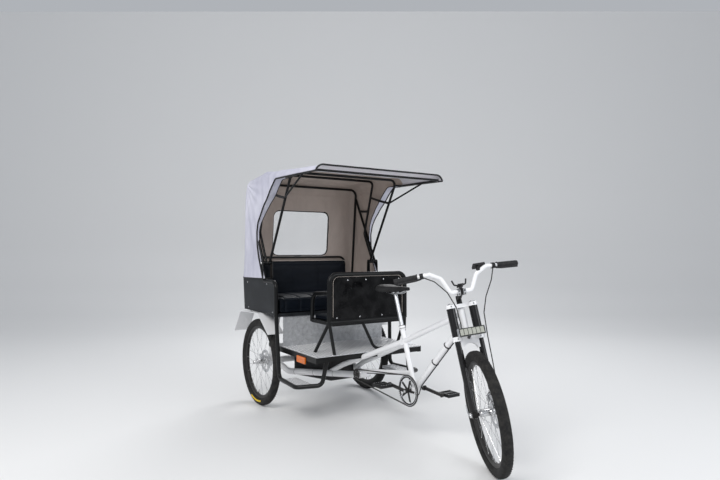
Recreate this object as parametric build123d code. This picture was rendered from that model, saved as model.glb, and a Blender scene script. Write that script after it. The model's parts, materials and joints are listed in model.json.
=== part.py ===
from build123d import *
import math
import os

os.makedirs("parts", exist_ok=True)

# Cycle rickshaw, in millimetres: +X forward, +Y to the rider's left, +Z up, the ground at Z = 0.
# X is measured ahead of the rear axle throughout. Each piece is moved back by MIDDLE_X as it is
# saved, so the finished part has its origin on the ground under its middle.

MIDDLE_X = 955.0

# Wheels
WHEEL_R = 340.0
TYRE_HALF_W = 30.0
BEAD_R = 284.0
RIM_BED_R = 262.0
RIM_HALF_W = 13.0
WHEELBASE = 2010.0
TRACK = 1000.0
SPOKES = 28
SPOKE_W = 2.6
AXLE_R = 10.0
RUNNING_GAP = 0.05
DISC_R = 90.0
DISC_SIDE = 44.0

# Steering: the head angle from the ground, and how far ahead of the steering axis things sit
HEAD_ANGLE = 72.0
AXLE_AHEAD = 50.0
LEGS_AHEAD = 30.0
LEG_SPREAD = 66.0
REST_STEER = -29.0
LOWER_CROWN = (404, 430)
UPPER_CROWN = (594, 616)
BAR_R = 12.5
HOSE_R = 3.0

# Floor, bench and side panels
FLOOR_Z = 500.0
FLOOR_T = 5.0
FLOOR_FRONT_X = 848.0
FLOOR_HALF_W = 455.0
PAN_Z = 752.0
SEAT_TOP_Z = 875.0
BENCH_FRONT_X = 335.0
BENCH_REAR_X = -262.0
BENCH_HALF_W = 512.0
PANEL_Y = (-530, -514)
PANEL_TOP_Z = 1004.0
POST_Y = -522.0
POST_R = 15.0

# Jump seat, its back to the driver
JUMP_X = 808.0
JUMP_HALF_W = 330.0
JUMP_BOTTOM_Z = 722.0
JUMP_TOP_Z = 1058.0
JUMP_TUBE_R = 16.0

# Folding hood: three bows that share a pivot pin each side, their feet side by side on it
PIVOT_X = 120.0
PIVOT_Z = 1130.0
PIN_R = 6.0
EYE_R = 13.0
EYE_HALF_W = 9.0
FOOT_GAP = 8.0
HOOD_TUBE_R = 10.0
REAR_BOW = {"x": -192.0, "top": 1786.0, "half_w": 528.0}
MID_BOW = {"x": 130.0, "top": 1832.0, "half_w": 502.0}
FRONT_BOW = {"x": 508.0, "top": 1802.0, "half_w": 476.0}
VISOR_RAIL_Y = 528.0
VISOR_RAIL_Z = 1762.0
VISOR_BAR_X = 985.0
FABRIC_HALF_W = 548.0
FABRIC_T = 4.0
SHOULDER_R = 64.0
FABRIC_SPLIT_Z = 1757.0
VISOR_REAR_X = 378.0
VISOR_FRONT_X = 1005.0
WINDOW_HALF_W = 275.0
WINDOW_Z = (1180, 1578)

# Driver's frame and drive line
BB_X = 1350.0
BB_Z = 328.0
CRANK_LENGTH = 170.0
CRANK_TILT = -4.0
CRANK_Y = (72, 86)
CHAINRING_TEETH = 48
SPROCKET_TEETH = 18
CHAIN_PITCH = 12.7
CHAIN_LINKS = 130
CHAIN_Y = -58.0
HOUSING_Z = 320.0
HOUSING_R = 31.0
SADDLE_Z = 985.0


# Shapes that recur
def rod(a, b, radius):
    """A straight round bar from a to b."""
    a = Vector(*a)
    b = Vector(*b)
    plane = Plane(origin=a, z_dir=b - a)
    return plane * Cylinder(radius, (b - a).length, align=(Align.CENTER, Align.CENTER, Align.MIN))


def bent(points, radius, bend):
    """A round bar through the points, with its corners rounded to the radius bend."""
    path = FilletPolyline(*[Vector(*p) for p in points], radius=bend)
    return sweep(Plane(origin=path @ 0, z_dir=path % 0) * Circle(radius), path=path)


def box(x, y, z):
    """A box from three (low, high) pairs."""
    size = (x[1] - x[0], y[1] - y[0], z[1] - z[0])
    return Pos((x[0] + x[1]) / 2, (y[0] + y[1]) / 2, (z[0] + z[1]) / 2) * Box(*size)


def rounded(outline, corners):
    """A flat face from an outline, with some of its corners rounded: {corner number: radius}."""
    face = make_face(Polyline(*outline, close=True))
    for number, radius in corners.items():
        corner = face.vertices().sort_by_distance(Vector(*outline[number]))[0]
        face = fillet(corner, radius)
    return face


def side_plate(outline, y, corners=None):
    """An outline of (x, z) points made into a plate between two Y values."""
    plane = Plane(origin=(0, y[1], 0), x_dir=(1, 0, 0), z_dir=(0, -1, 0))
    return extrude(plane * rounded(outline, corners or {}), amount=y[1] - y[0])


def cross_plate(half, z, radius, x):
    """A plate across the vehicle between two X values, its two upper corners rounded."""
    outline = [(-half, z[0]), (half, z[0]), (half, z[1]), (-half, z[1])]
    plane = Plane(origin=(x[0], 0, 0), x_dir=(0, 1, 0), z_dir=(1, 0, 0))
    return extrude(plane * rounded(outline, {2: radius, 3: radius}), amount=x[1] - x[0])


def across(radius, y, x, z):
    """A round bar across the vehicle at (x, z), between two Y values."""
    return rod((x, min(y), z), (x, max(y), z), radius)


def both(shape):
    """The piece and its mirror image on the other side of the vehicle."""
    return shape + mirror(shape, about=Plane.XZ)


def ring(outline):
    """A ring about the Y axis from an outline of (radius, y) points."""
    return revolve(make_face(Polyline(*outline, close=True)), axis=Axis.Y)


def largest(shape):
    """The largest solid of a shape that a cut has left in several."""
    return max(shape.solids(), key=lambda piece: piece.volume)


nodes = {}


# Wheels
def tyre():
    """A wide road tyre: sidewalls swelling out from the bead, then a round crown."""
    shoulder_r = WHEEL_R - 7
    belly_r = BEAD_R + 23
    bead = TYRE_HALF_W - 16
    crown = TYRE_HALF_W - 10
    return ring([
        (BEAD_R, -bead), (belly_r, -TYRE_HALF_W), (shoulder_r, -crown), (WHEEL_R, 0),
        (shoulder_r, crown), (belly_r, TYRE_HALF_W), (BEAD_R, bead),
    ])


def rim():
    """A deep box rim, narrow at the spoke bed and wide at the bead seat."""
    bed = RIM_HALF_W - 5
    seat_r = RIM_BED_R + 10
    top_r = BEAD_R - 0.5
    return ring([
        (RIM_BED_R, -bed), (RIM_BED_R, bed), (seat_r, RIM_HALF_W), (top_r, RIM_HALF_W),
        (top_r, -RIM_HALF_W), (seat_r, -RIM_HALF_W),
    ])


def spoked_hub(hub_half, flange_r, disc_y):
    """Hub shell with two flanges, a six-armed brake disc, and crossed spokes out to the rim."""
    bore = AXLE_R + RUNNING_GAP
    shell_r = 17
    hub = ring([
        (bore, -hub_half - 8), (shell_r, -hub_half - 8), (shell_r, -hub_half), (flange_r, -hub_half),
        (flange_r, -hub_half + 4), (shell_r + 2, -hub_half + 8), (shell_r + 2, hub_half - 8),
        (flange_r, hub_half - 4), (flange_r, hub_half), (shell_r, hub_half),
        (shell_r, disc_y + 3), (bore, disc_y + 3),
    ])
    disc = (disc_y - 1.1, disc_y + 1.1)
    hub += across(DISC_R, disc, 0, 0) - across(DISC_R - 26, disc, 0, 0)
    for k in range(6):
        hub += Rot(0, 60 * k + 12, 0) * Pos(DISC_R / 2 - 4, disc_y, 0) * Box(DISC_R - 38, 2.2, 11)
    pitch = 360.0 / SPOKES
    for k in range(SPOKES):
        side = 1 if k % 2 else -1
        lead = 52 if (k // 2) % 2 else -52
        at_rim = math.radians(pitch * k)
        at_hub = math.radians(pitch * k + lead)
        inner_r = flange_r - 4
        start = Vector(inner_r * math.cos(at_hub), side * (hub_half - 2), inner_r * math.sin(at_hub))
        reach = RIM_BED_R - 0.5
        end = Vector(reach * math.cos(at_rim), side * 3, reach * math.sin(at_rim))
        along = Plane(origin=start, z_dir=end - start)
        hub += along * extrude(Rectangle(SPOKE_W, SPOKE_W), amount=(end - start).length)
    return hub


tyre_shape = tyre()
rim_shape = rim()
rear_hub_shape = spoked_hub(30, 32, DISC_SIDE)

for side, name in ((-1, "rear_right"), (1, "rear_left")):
    place = Pos(0, side * TRACK / 2, WHEEL_R)
    disc_inboard = Rot(0, 0, 0) if side < 0 else Rot(0, 0, 180)
    nodes[name + "_tyre"] = place * tyre_shape
    nodes[name + "_rim"] = place * rim_shape
    nodes[name + "_hub"] = place * disc_inboard * rear_hub_shape


# Chain, chainring and sprocket
XZ_FACE = Plane(origin=(0, 0, 0), x_dir=(1, 0, 0), z_dir=(0, -1, 0))


def pitch_radius(teeth):
    return CHAIN_PITCH / (2 * math.sin(math.pi / teeth))


def centre_distance(links, teeth_a, teeth_b):
    """The distance between two sprockets that a chain of this many links takes up exactly."""
    spare = links - (teeth_a + teeth_b) / 2
    wrap = 8 * ((teeth_a - teeth_b) / (2 * math.pi)) ** 2
    return CHAIN_PITCH / 4 * (spare + math.sqrt(spare ** 2 - wrap))


def toothed(teeth, thick, inner_r):
    """A sprocket about the Y axis, one tooth for each link, its middle on Y = 0."""
    outline = []
    for k in range(teeth):
        for part, reach in ((-0.3, -4), (-0.1, 3.2), (0.1, 3.2), (0.3, -4)):
            angle = 2 * math.pi * (k + part) / teeth
            radius = pitch_radius(teeth) + reach
            outline.append((radius * math.cos(angle), radius * math.sin(angle)))
    face = make_face(Polyline(*outline, close=True)) - Circle(inner_r)
    return Pos(0, thick / 2, 0) * extrude(XZ_FACE * face, amount=thick)


def chain_loop(big, small, y):
    """Two strips of side plates round two sprockets, each given as (x, z, teeth)."""
    hulls = []
    for offset_r in (4, -4):
        edges = []
        for x, z, teeth in (big, small):
            edges += (Pos(x, z) * Circle(pitch_radius(teeth) + offset_r)).edges()
        hulls.append(make_hull(edges))
    strip = extrude(XZ_FACE * (hulls[0] - hulls[1]), amount=1.4)
    return Pos(0, y - 2.2, 0) * strip + Pos(0, y + 3.6, 0) * strip


drop = BB_Z - HOUSING_Z
HOUSING_X = BB_X - math.sqrt(centre_distance(CHAIN_LINKS, CHAINRING_TEETH, SPROCKET_TEETH) ** 2 - drop ** 2)
nodes["chain"] = chain_loop((BB_X, BB_Z, CHAINRING_TEETH), (HOUSING_X, HOUSING_Z, SPROCKET_TEETH), CHAIN_Y)

sprocket = Pos(0, CHAIN_Y, 0) * toothed(SPROCKET_TEETH, 2.8, AXLE_R - 2)
for k in range(6):
    sprocket -= Rot(0, 60 * k, 0) * across(5, (CHAIN_Y - 2, CHAIN_Y + 2), 21, 0)
jackshaft = across(AXLE_R, (-66, 54), 0, 0) + sprocket
nodes["jackshaft"] = Pos(HOUSING_X, 0, HOUSING_Z) * jackshaft

# Rear axle with its brake calipers
axle = across(26, (-415, 415), 0, WHEEL_R)
for side in (-1, 1):
    axle += across(46, (side * 415, side * 427), 0, WHEEL_R)
    axle += across(AXLE_R, (side * 427, side * 548), 0, WHEEL_R)
    axle += Pos(0, side * 548, WHEEL_R) * Rot(90, 0, 0) * extrude(RegularPolygon(13, 6), amount=6, both=True)
posts = rod((-24, -400, WHEEL_R), (-36, -400, PAN_Z), 13) + rod((8, -400, WHEEL_R), (140, -400, PAN_Z), 13)
axle += both(posts & box((-100, 200), (-450, -300), (300, PAN_Z - 8)))
nodes["rear_axle"] = axle

caliper = box((-96, -56), (-468, -444), (WHEEL_R + 2, WHEEL_R + 46))
caliper = fillet(caliper.edges().filter_by(Axis.Y), 9)
caliper += box((-66, -20), (-446, -427), (WHEEL_R + 14, WHEEL_R + 32))
caliper -= across(DISC_R + 3, (-458.5, -453.5), 0, WHEEL_R)
nodes["rear_calipers"] = both(caliper)

# Driver's frame and the stays that carry the cabin
stay = bent([(8, -338, 306), (100, -296, 258), (HOUSING_X - 30, -18, HOUSING_Z - 12)], 24, 90)
v_stays = both(stay) + across(HOUSING_R, (-46, 46), HOUSING_X, HOUSING_Z)
v_stays += both(box((-14, 34), (-352, -322), (280, WHEEL_R - 4)))
v_stays -= across(AXLE_R + RUNNING_GAP, (-80, 80), HOUSING_X, HOUSING_Z)
nodes["v_stays"] = v_stays - axle

seat_tube_lean = Vector(-0.334, 0, 0.943)
bb_centre = Vector(BB_X, 0, BB_Z)
seat_tube_top = bb_centre + seat_tube_lean * 420
seatpost_top = bb_centre + seat_tube_lean * 655
bb_bore = across(AXLE_R + RUNNING_GAP, (-60, 60), BB_X, BB_Z)
seat_tube = rod(bb_centre, seat_tube_top, 17) + across(22, (-36, 36), BB_X, BB_Z)
seat_tube += rod(seat_tube_top - seat_tube_lean * 26, seat_tube_top, 21)
nodes["seat_tube"] = seat_tube - bb_bore
nodes["frame_hose"] = bent([
    (1781, 0, 745), (1415, 0, 362), (1376, 6, 290), (1318, 10, 300), (1262, 10, 404), (772, 10, 327),
], HOSE_R, 30)
nodes["seatpost"] = rod(seat_tube_top, seatpost_top, 13.5)

main_stay = bent([(462, -112, 302), (600, -92, 372), (1250, -34, 622)], 19, 300)
lower_stay = rod((HOUSING_X, 0, HOUSING_Z + 20), (1314, 0, 430), 14)
nodes["main_stays"] = both(main_stay) + largest(lower_stay - v_stays - seat_tube) - v_stays - seat_tube

head = math.radians(HEAD_ANGLE)
UP = Vector(-math.cos(head), 0, math.sin(head))
AHEAD = Vector(math.sin(head), 0, math.cos(head))
STEER_BASE = Vector(WHEELBASE, 0, WHEEL_R) - AHEAD * AXLE_AHEAD


def at(up, ahead=0.0, y=0.0):
    """A point of the steering group: up along its axis, ahead of it, and to the left."""
    p = STEER_BASE + UP * up + AHEAD * ahead
    return (p.X, y, p.Z)


head_shell = rod(at(436), at(588), 21)
nodes["head_tube"] = head_shell - rod(at(420), at(600), 15 + RUNNING_GAP)
down_tube = rod(bb_centre, at(505), 20)
nodes["down_tube"] = largest(down_tube - head_shell - seat_tube)
seat_joint = bb_centre + seat_tube_lean * 318
top_tube = rod(seat_joint, at(560), 18) - head_shell - seat_tube - down_tube - nodes["main_stays"]
nodes["top_tube"] = largest(top_tube)

# Saddle: nose, waist and a wide rear, as (x, half width, height, lift)
saddle_cuts = (
    (1282, 18, 26, 4), (1210, 24, 36, 0), (1120, 62, 44, 0), (1040, 100, 50, 6), (1012, 88, 40, 10),
)
cuts = []
for x, half_w, tall, lift in saddle_cuts:
    top = SADDLE_Z + lift
    upper = [(half_w, top - 0.72 * tall), (half_w, top - 0.3 * tall), (0.72 * half_w, top - 2), (0, top)]
    half_ring = [(0.6 * half_w, top - tall)] + upper
    ring_points = half_ring + [(-y, z) for y, z in half_ring[-2::-1]]
    plane = Plane(origin=(x, 0, 0), x_dir=(0, 1, 0), z_dir=(1, 0, 0))
    cuts.append(plane * make_face(Polyline(*ring_points, close=True)))
nodes["saddle"] = loft(cuts, ruled=True) - rod(seat_tube_top, seatpost_top, 13.5)

# Floor and its beams
floor_low = FLOOR_Z - FLOOR_T
beam_y = (-FLOOR_HALF_W, -FLOOR_HALF_W + 30)
beam_line = [(60, 470), (120, 455), (FLOOR_FRONT_X, 455), (FLOOR_FRONT_X, floor_low), (60, floor_low)]
beams = both(side_plate(beam_line, beam_y) + box((560, 705), (-FLOOR_HALF_W, -FLOOR_HALF_W + 4), (425, 460)))
cross_half = FLOOR_HALF_W - 30
crossbars = box((FLOOR_FRONT_X - 25, FLOOR_FRONT_X), (-cross_half, cross_half), (458, floor_low))
crossbars += box((180, 210), (-cross_half, cross_half), (455, floor_low))
nodes["floor_beams"] = beams + crossbars - both(main_stay)
kick_x = (BENCH_FRONT_X - 12, BENCH_FRONT_X - 8)
all_floor_y = (-FLOOR_HALF_W, FLOOR_HALF_W)
nodes["floor_plate"] = box((kick_x[1], FLOOR_FRONT_X), all_floor_y, (floor_low, FLOOR_Z))
kick = box(kick_x, all_floor_y, (floor_low, PAN_Z - 8))
nodes["kick_panel"] = kick + box((160, kick_x[0]), all_floor_y, (floor_low, floor_low + 4))
battery_line = [(45, -245), (440, -105), (440, 105), (45, 245)]
battery = Pos(0, 0, 218) * extrude(rounded(battery_line, {0: 30, 1: 24, 2: 24, 3: 30}), amount=455 - 218)
nodes["battery_box"] = chamfer(battery.faces().sort_by(Axis.Z)[0].edges(), 12)

# Bench
pan = box((BENCH_REAR_X, BENCH_FRONT_X - 5), (-BENCH_HALF_W, BENCH_HALF_W), (PAN_Z - 8, PAN_Z))
pan += box((BENCH_REAR_X, BENCH_REAR_X + 4), (-BENCH_HALF_W, BENCH_HALF_W), (PAN_Z, 1000))
pan += box((BENCH_FRONT_X - 5, BENCH_FRONT_X - 1), (-BENCH_HALF_W, BENCH_HALF_W), (PAN_Z - 26, PAN_Z))
nodes["bench_pan"] = pan
cushion = box((-176, BENCH_FRONT_X), (-498, 498), (PAN_Z + 1, SEAT_TOP_Z))
nodes["bench_cushion"] = fillet(cushion.edges().filter_by(Axis.Y).sort_by(Axis.X)[-2:], 22)
nodes["bench_backrest"] = cross_plate(425, (PAN_Z + 2, 1150), 50, (-240, -180))
rail_points = [(-252, -440, PAN_Z), (-252, -440, 1168), (-252, 440, 1168), (-252, 440, PAN_Z)]
nodes["backrest_rail"] = bent(rail_points, 10, 60) - pan - nodes["bench_backrest"]

# Side panels, with a tube round the front that runs on down to carry the step
post = bent([
    (120, POST_Y, PANEL_TOP_Z - POST_R), (338, POST_Y, PANEL_TOP_Z - POST_R), (345, POST_Y, PAN_Z),
    (372, -508, 278), (700, -535, 278), (796, -380, 292), (812, -350, 470),
], POST_R, 48) - crossbars
tread = box((425, 690), (-522, -392), (262, 280)) - box((432, 683), (-515, -399), (262, 276))
nodes["steps"] = both(post + tread)
panel_line = [(-300, PANEL_TOP_Z), (BENCH_REAR_X - 6, PAN_Z - 12), (345, PAN_Z - 12), (338, PANEL_TOP_Z)]
panel = side_plate(panel_line, PANEL_Y, {3: 60}) - post
nodes["side_panels"] = both(largest(panel))

# Mudguards: a flap behind the wheel, a flat top and an apron in front
guard_line = [(-405, 548), (-268, 726), (92, 740), (292, 596)]
guard_under = [(289.6, 592.8), (90.6, 735.8), (-266, 721.8), (-402, 545.5)]
guard = side_plate(guard_line + guard_under, (-566, -436), {1: 40, 2: 46, 5: 42, 6: 36})
nodes["mudguards"] = both(guard)
reflector = box((570, 695), (-464, -455), (430, 476))
nodes["indicators"] = both(fillet(reflector.edges().filter_by(Axis.Y), 6))
nodes["rear_lamps"] = both(rod((BENCH_REAR_X - 16, -455, 880), (BENCH_REAR_X, -455, 880), 26))

# Jump seat
half = JUMP_HALF_W
frame = bent([
    (JUMP_X, -half, JUMP_BOTTOM_Z), (JUMP_X, -half, JUMP_TOP_Z), (JUMP_X, half, JUMP_TOP_Z),
    (JUMP_X, half, JUMP_BOTTOM_Z),
], JUMP_TUBE_R, 62)
frame += across(JUMP_TUBE_R, (-half, half), JUMP_X, JUMP_BOTTOM_Z)
legs = rod((JUMP_X, -half, JUMP_BOTTOM_Z), (660, -368, FLOOR_Z - 10), 12)
legs += rod((JUMP_X, -half, JUMP_BOTTOM_Z), (834, -300, FLOOR_Z - 10), 12)
legs += bent([(478, -290, 700), (490, -290, 908), (JUMP_X, -322, 928)], 15, 90)
frame += both(legs)
frame += bent([(JUMP_X, -60, JUMP_BOTTOM_Z), (826, 40, 512), (826, 190, 512)], 11, 70)
frame -= box((600, 900), all_floor_y, (400, FLOOR_Z))
board_line = [(438, -300), (JUMP_X, -300), (JUMP_X, 300), (438, 300)]
board = Pos(0, 0, 694) * extrude(rounded(board_line, {0: 60, 3: 60}), amount=22)
nodes["jump_seat_frame"] = frame + board
back = cross_plate(half - 10, (JUMP_BOTTOM_Z + 10, JUMP_TOP_Z - 10), 50, (JUMP_X - 5, JUMP_X + 5))
nodes["jump_seat_panel"] = back - frame
cushion_line = [(452, -262), (JUMP_X - 18, -262), (JUMP_X - 18, 262), (452, 262)]
nodes["jump_seat_cushion"] = Pos(0, 0, 717) * extrude(rounded(cushion_line, {0: 45, 3: 45}), amount=35)


# Hood bows
def foot_towards(x, z):
    """Where a leg that points at (x, z) starts, just clear of the pin."""
    length = math.hypot(x - PIVOT_X, z - PIVOT_Z)
    share = FOOT_GAP / length
    return (PIVOT_X + (x - PIVOT_X) * share, PIVOT_Z + (z - PIVOT_Z) * share)


def bow(spec, foot, bend):
    """A hoop: from its foot up the near side, over the top and down the far side."""
    y = spec["half_w"]
    near = [(x, -y, z) for x, z in foot] + [(spec["x"], -y, spec["top"])]
    far = [(x, -side_y, z) for x, side_y, z in near[::-1]]
    return bent(near + far, HOOD_TUBE_R, bend)


def eyes(y):
    """The pair of eyes that a bow's feet turn on, at y each side."""
    return both(across(EYE_R, (-y - EYE_HALF_W, -y + EYE_HALF_W), PIVOT_X, PIVOT_Z))


pin_bore = both(across(PIN_R + RUNNING_GAP, (-546, -452), PIVOT_X, PIVOT_Z))
brace_foot = foot_towards(-194, 1705)
brace = rod((brace_foot[0], -REAR_BOW["half_w"], brace_foot[1]), (-194, -REAR_BOW["half_w"], 1705), HOOD_TUBE_R)
rear_bow = bow(REAR_BOW, [(BENCH_REAR_X, PANEL_TOP_Z + 1)], 60) + both(brace) + eyes(REAR_BOW["half_w"])
nodes["hood_rear_bow"] = rear_bow - pin_bore
mid_bow = bow(MID_BOW, [foot_towards(-12, 1374), (-12, 1374)], 45) + eyes(MID_BOW["half_w"])
nodes["hood_mid_bow"] = mid_bow - pin_bore
front_bow = bow(FRONT_BOW, [foot_towards(FRONT_BOW["x"], FRONT_BOW["top"])], 64) + eyes(FRONT_BOW["half_w"])
near_rail = [(486, -470, VISOR_RAIL_Z), (500, -VISOR_RAIL_Y, VISOR_RAIL_Z)]
near_rail += [(VISOR_BAR_X, -VISOR_RAIL_Y, VISOR_RAIL_Z - 4)]
far_rail = [(x, -y, z) for x, y, z in near_rail[::-1]]
front_bow += bent(near_rail + far_rail, 8, 34)
front_bow += both(rod((405, -480, 1624), (800, -VISOR_RAIL_Y, VISOR_RAIL_Z), 7))
nodes["hood_front_bow"] = front_bow - pin_bore

clevis = box((95, 145), (-543, -457), (PANEL_TOP_Z, PANEL_TOP_Z + 8))
ear = [(95, PANEL_TOP_Z + 8), (145, PANEL_TOP_Z + 8), (138, PIVOT_Z + 18), (102, PIVOT_Z + 18)]
for ear_y in ((-543, -539), (-461, -457)):
    clevis += side_plate(ear, ear_y, {2: 17, 3: 17})
clevis += across(PIN_R, (-543, -452), PIVOT_X, PIVOT_Z)
nodes["pivot_posts"] = both(clevis)


# Hood fabric: one shell, cut where the rear, the roof and the visor part company
def hood_form(inset):
    """The hood as a solid block with rounded shoulders, drawn in by inset on every side."""
    line = [(-322, 900), (-240, 1812), (130, 1851), (560, 1822), (1100, 1790), (1100, 900)]
    face = rounded(line, {1: 80, 2: 500, 3: 900})
    if inset:
        face = offset(face, amount=-inset)
    y = FABRIC_HALF_W - inset
    plane = Plane(origin=(0, y, 0), x_dir=(1, 0, 0), z_dir=(0, -1, 0))
    block = extrude(plane * face, amount=2 * y)
    shoulders = []
    for edge in block.edges():
        middle = edge.center()
        if abs(abs(middle.Y) - y) < 0.01 and middle.Z > 950 and middle.X < 1080:
            shoulders.append(edge)
    return fillet(shoulders, SHOULDER_R - inset)


fabric = hood_form(0) - hood_form(FABRIC_T)
all_y = (-FABRIC_HALF_W - 10, FABRIC_HALF_W + 10)
piping = [
    (-400, 1008), (150, 1012), (38, 1225), (28, 1405), (140, 1552), (262, 1662),
    (340, FABRIC_SPLIT_Z), (-400, FABRIC_SPLIT_Z),
]
rear_part = fabric & side_plate(piping, all_y, {2: 160, 3: 160, 4: 200, 5: 200})
window = cross_plate(WINDOW_HALF_W, WINDOW_Z, 60, (-400, -100))
film = cross_plate(WINDOW_HALF_W - 1, (WINDOW_Z[0] + 1, WINDOW_Z[1] - 1), 59, (-400, -100))
nodes["canopy_rear"] = rear_part - window
nodes["rear_window"] = rear_part & film
nodes["canopy_roof"] = fabric & box((-400, VISOR_REAR_X - 6), all_y, (FABRIC_SPLIT_Z, 1900))
skirt = [(VISOR_REAR_X, 1760), (VISOR_FRONT_X, 1754), (VISOR_FRONT_X, 1900), (VISOR_REAR_X, 1900)]
nodes["canopy_visor"] = fabric & side_plate(skirt, all_y)

# Fork: two crowns that hold a pair of legs, with a sleeve round each leg between them
steered = {}
crowns = rod(at(LOWER_CROWN[0]), at(UPPER_CROWN[1]), 15)
for low, high in (LOWER_CROWN, UPPER_CROWN):
    crowns += rod(at(low), at(high), 22)
    bridge = Plane(origin=at((low + high) / 2, LEGS_AHEAD / 2 + 4), x_dir=AHEAD, z_dir=UP)
    crowns += bridge * Box(30, 2 * LEG_SPREAD, high - low)
    for side in (-1, 1):
        y = side * LEG_SPREAD
        crowns += rod(at(low, LEGS_AHEAD, y), at(high, LEGS_AHEAD, y), 28)
arch = Plane(origin=at(381, LEGS_AHEAD), x_dir=AHEAD, z_dir=UP) * Box(30, 2 * LEG_SPREAD, 50)
crowns += arch - rod(at(346, LEGS_AHEAD - 20), at(346, LEGS_AHEAD + 20), 42)
for side in (-1, 1):
    crowns -= rod(at(340, LEGS_AHEAD, side * LEG_SPREAD), at(640, LEGS_AHEAD, side * LEG_SPREAD), 19)
steered["fork_crowns"] = crowns

axle_at = at(0, AXLE_AHEAD)
legs = across(AXLE_R, (-92, 92), axle_at[0], axle_at[2])
for side in (-1, 1):
    y = side * LEG_SPREAD
    legs += rod(at(-10, LEGS_AHEAD, y), at(620, LEGS_AHEAD, y), 18)
    legs += rod(at(LOWER_CROWN[1], LEGS_AHEAD, y), at(UPPER_CROWN[0], LEGS_AHEAD, y), 25)
    foot_y = (side * (LEG_SPREAD - 14), side * (LEG_SPREAD + 14))
    legs += across(18, foot_y, axle_at[0], axle_at[2])
legs -= crowns
steered["fork_legs"] = legs

# Handlebar: a swept riser bar in a stem clamp, as half of the bar's line from the middle out
clamp = at(676, 96)
bar_half = [(0, 0, -5), (0, 62, 0), (-10, 104, 87), (-14, 165, 121), (-60, 365, 105)]
bar_left = [(clamp[0] + x, y, clamp[2] + z) for x, y, z in bar_half]
bar_right = [(x, -y, z) for x, y, z in bar_left[::-1]]
steered["handlebar"] = bent(bar_right[:-1] + bar_left[1:], BAR_R, 24)
stem = rod(at(UPPER_CROWN[1]), at(668), 16) + rod(at(650), at(672, 88), 14)
stem += across(20, (-24, 24), clamp[0], clamp[2] - 2)
steered["stem"] = stem - steered["handlebar"]
bar_dir = (Vector(*bar_left[4]) - Vector(*bar_left[3])).normalized()
grips = Part()
levers = Part()
for side in (-1, 1):
    flip = Vector(1, side, 1)
    start = Vector(*bar_left[3])
    inner, middle, outer = [start + bar_dir * reach for reach in (66, 78, 209)]
    grip = rod(inner + bar_dir * 6, outer, 16.5) + rod(inner + bar_dir * 6, inner + bar_dir * 11, 19)
    perch = rod(start + bar_dir * 38, start + bar_dir * 58, 17)
    pull = start + bar_dir * 48
    blade = bent([
        pull, pull + Vector(30, 6, -10), pull + Vector(30, 40, -16), pull + Vector(8, 142, -24),
    ], 5.5, 16)
    lever = perch + blade
    if side < 0:
        grip = mirror(grip, about=Plane.XZ)
        lever = mirror(lever, about=Plane.XZ)
    grips += grip
    levers += lever
steered["grips"] = grips - steered["handlebar"]
steered["brake_levers"] = levers - steered["handlebar"]

# Lamp bar, phone holder and display
lamp = Plane(origin=at(442, 124), x_dir=(0, 1, 0), z_dir=UP) * Box(148, 34, 44)
lamp += rod(at(418, 40), at(436, 114), 9)
steered["lamp_bar"] = lamp - crowns
cradle = Plane(origin=(clamp[0] - 6, 0, clamp[2] + 34), x_dir=(0, 1, 0), z_dir=(-0.5, 0, 0.87))
holder = cradle * Box(34, 40, 8)
for side in (-1, 1):
    jaw = [(clamp[0] - 6, side * 10, clamp[2] + 34), (clamp[0] - 10, side * 34, clamp[2] + 40)]
    holder += bent(jaw + [(clamp[0] - 22, side * 42, clamp[2] + 66)], 4.5, 10)
holder += rod((clamp[0], 0, clamp[2] + 12), (clamp[0] - 6, 0, clamp[2] + 34), 9)
steered["phone_holder"] = holder - stem - steered["handlebar"]
screen = Plane(origin=(clamp[0] - 26, 128, clamp[2] + 128), x_dir=(0, 1, 0), z_dir=(-0.6, 0, 0.8))
display = screen * Box(70, 44, 12) + across(16, (112, 126), clamp[0] - 14, clamp[2] + 113)
steered["bar_display"] = display - steered["handlebar"]

# Front brake on the left leg, and the two hoses from the levers
front_caliper = Plane(origin=at(78, 8, 45), x_dir=AHEAD, z_dir=UP) * Box(36, 18, 36)
front_caliper += Plane(origin=at(76, 22, 51), x_dir=AHEAD, z_dir=UP) * Box(18, 12, 28)
front_caliper -= rod((axle_at[0], 39, axle_at[2]), (axle_at[0], 45, axle_at[2]), DISC_R + 3)
steered["front_caliper"] = front_caliper - legs

steered["brake_hoses"] = bent([
    (1841, -206, 1108), (1864, -150, 1078), (1890, -92, 1010), (1905, -56, 920), (1897, -42, 820), (1876, -38, 748),
], HOSE_R, 40) + bent([
    (1841, 206, 1108), (1866, 178, 1040), (1864, 134, 950), (1862, 110, 860), (1890, 104, 730), (1930, 100, 600),
    (1976, 90, 520), (1990, 68, 466), (1958, 38, 424),
], HOSE_R, 26)

front_place = Pos(axle_at[0], 0, axle_at[2])
steered["front_tyre"] = front_place * tyre_shape
steered["front_rim"] = front_place * rim_shape
steered["front_hub"] = front_place * spoked_hub(32, 30, 42)

STEER_AXIS = Axis(STEER_BASE, UP)
for name, shape in steered.items():
    nodes[name] = shape.rotate(STEER_AXIS, REST_STEER)

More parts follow.
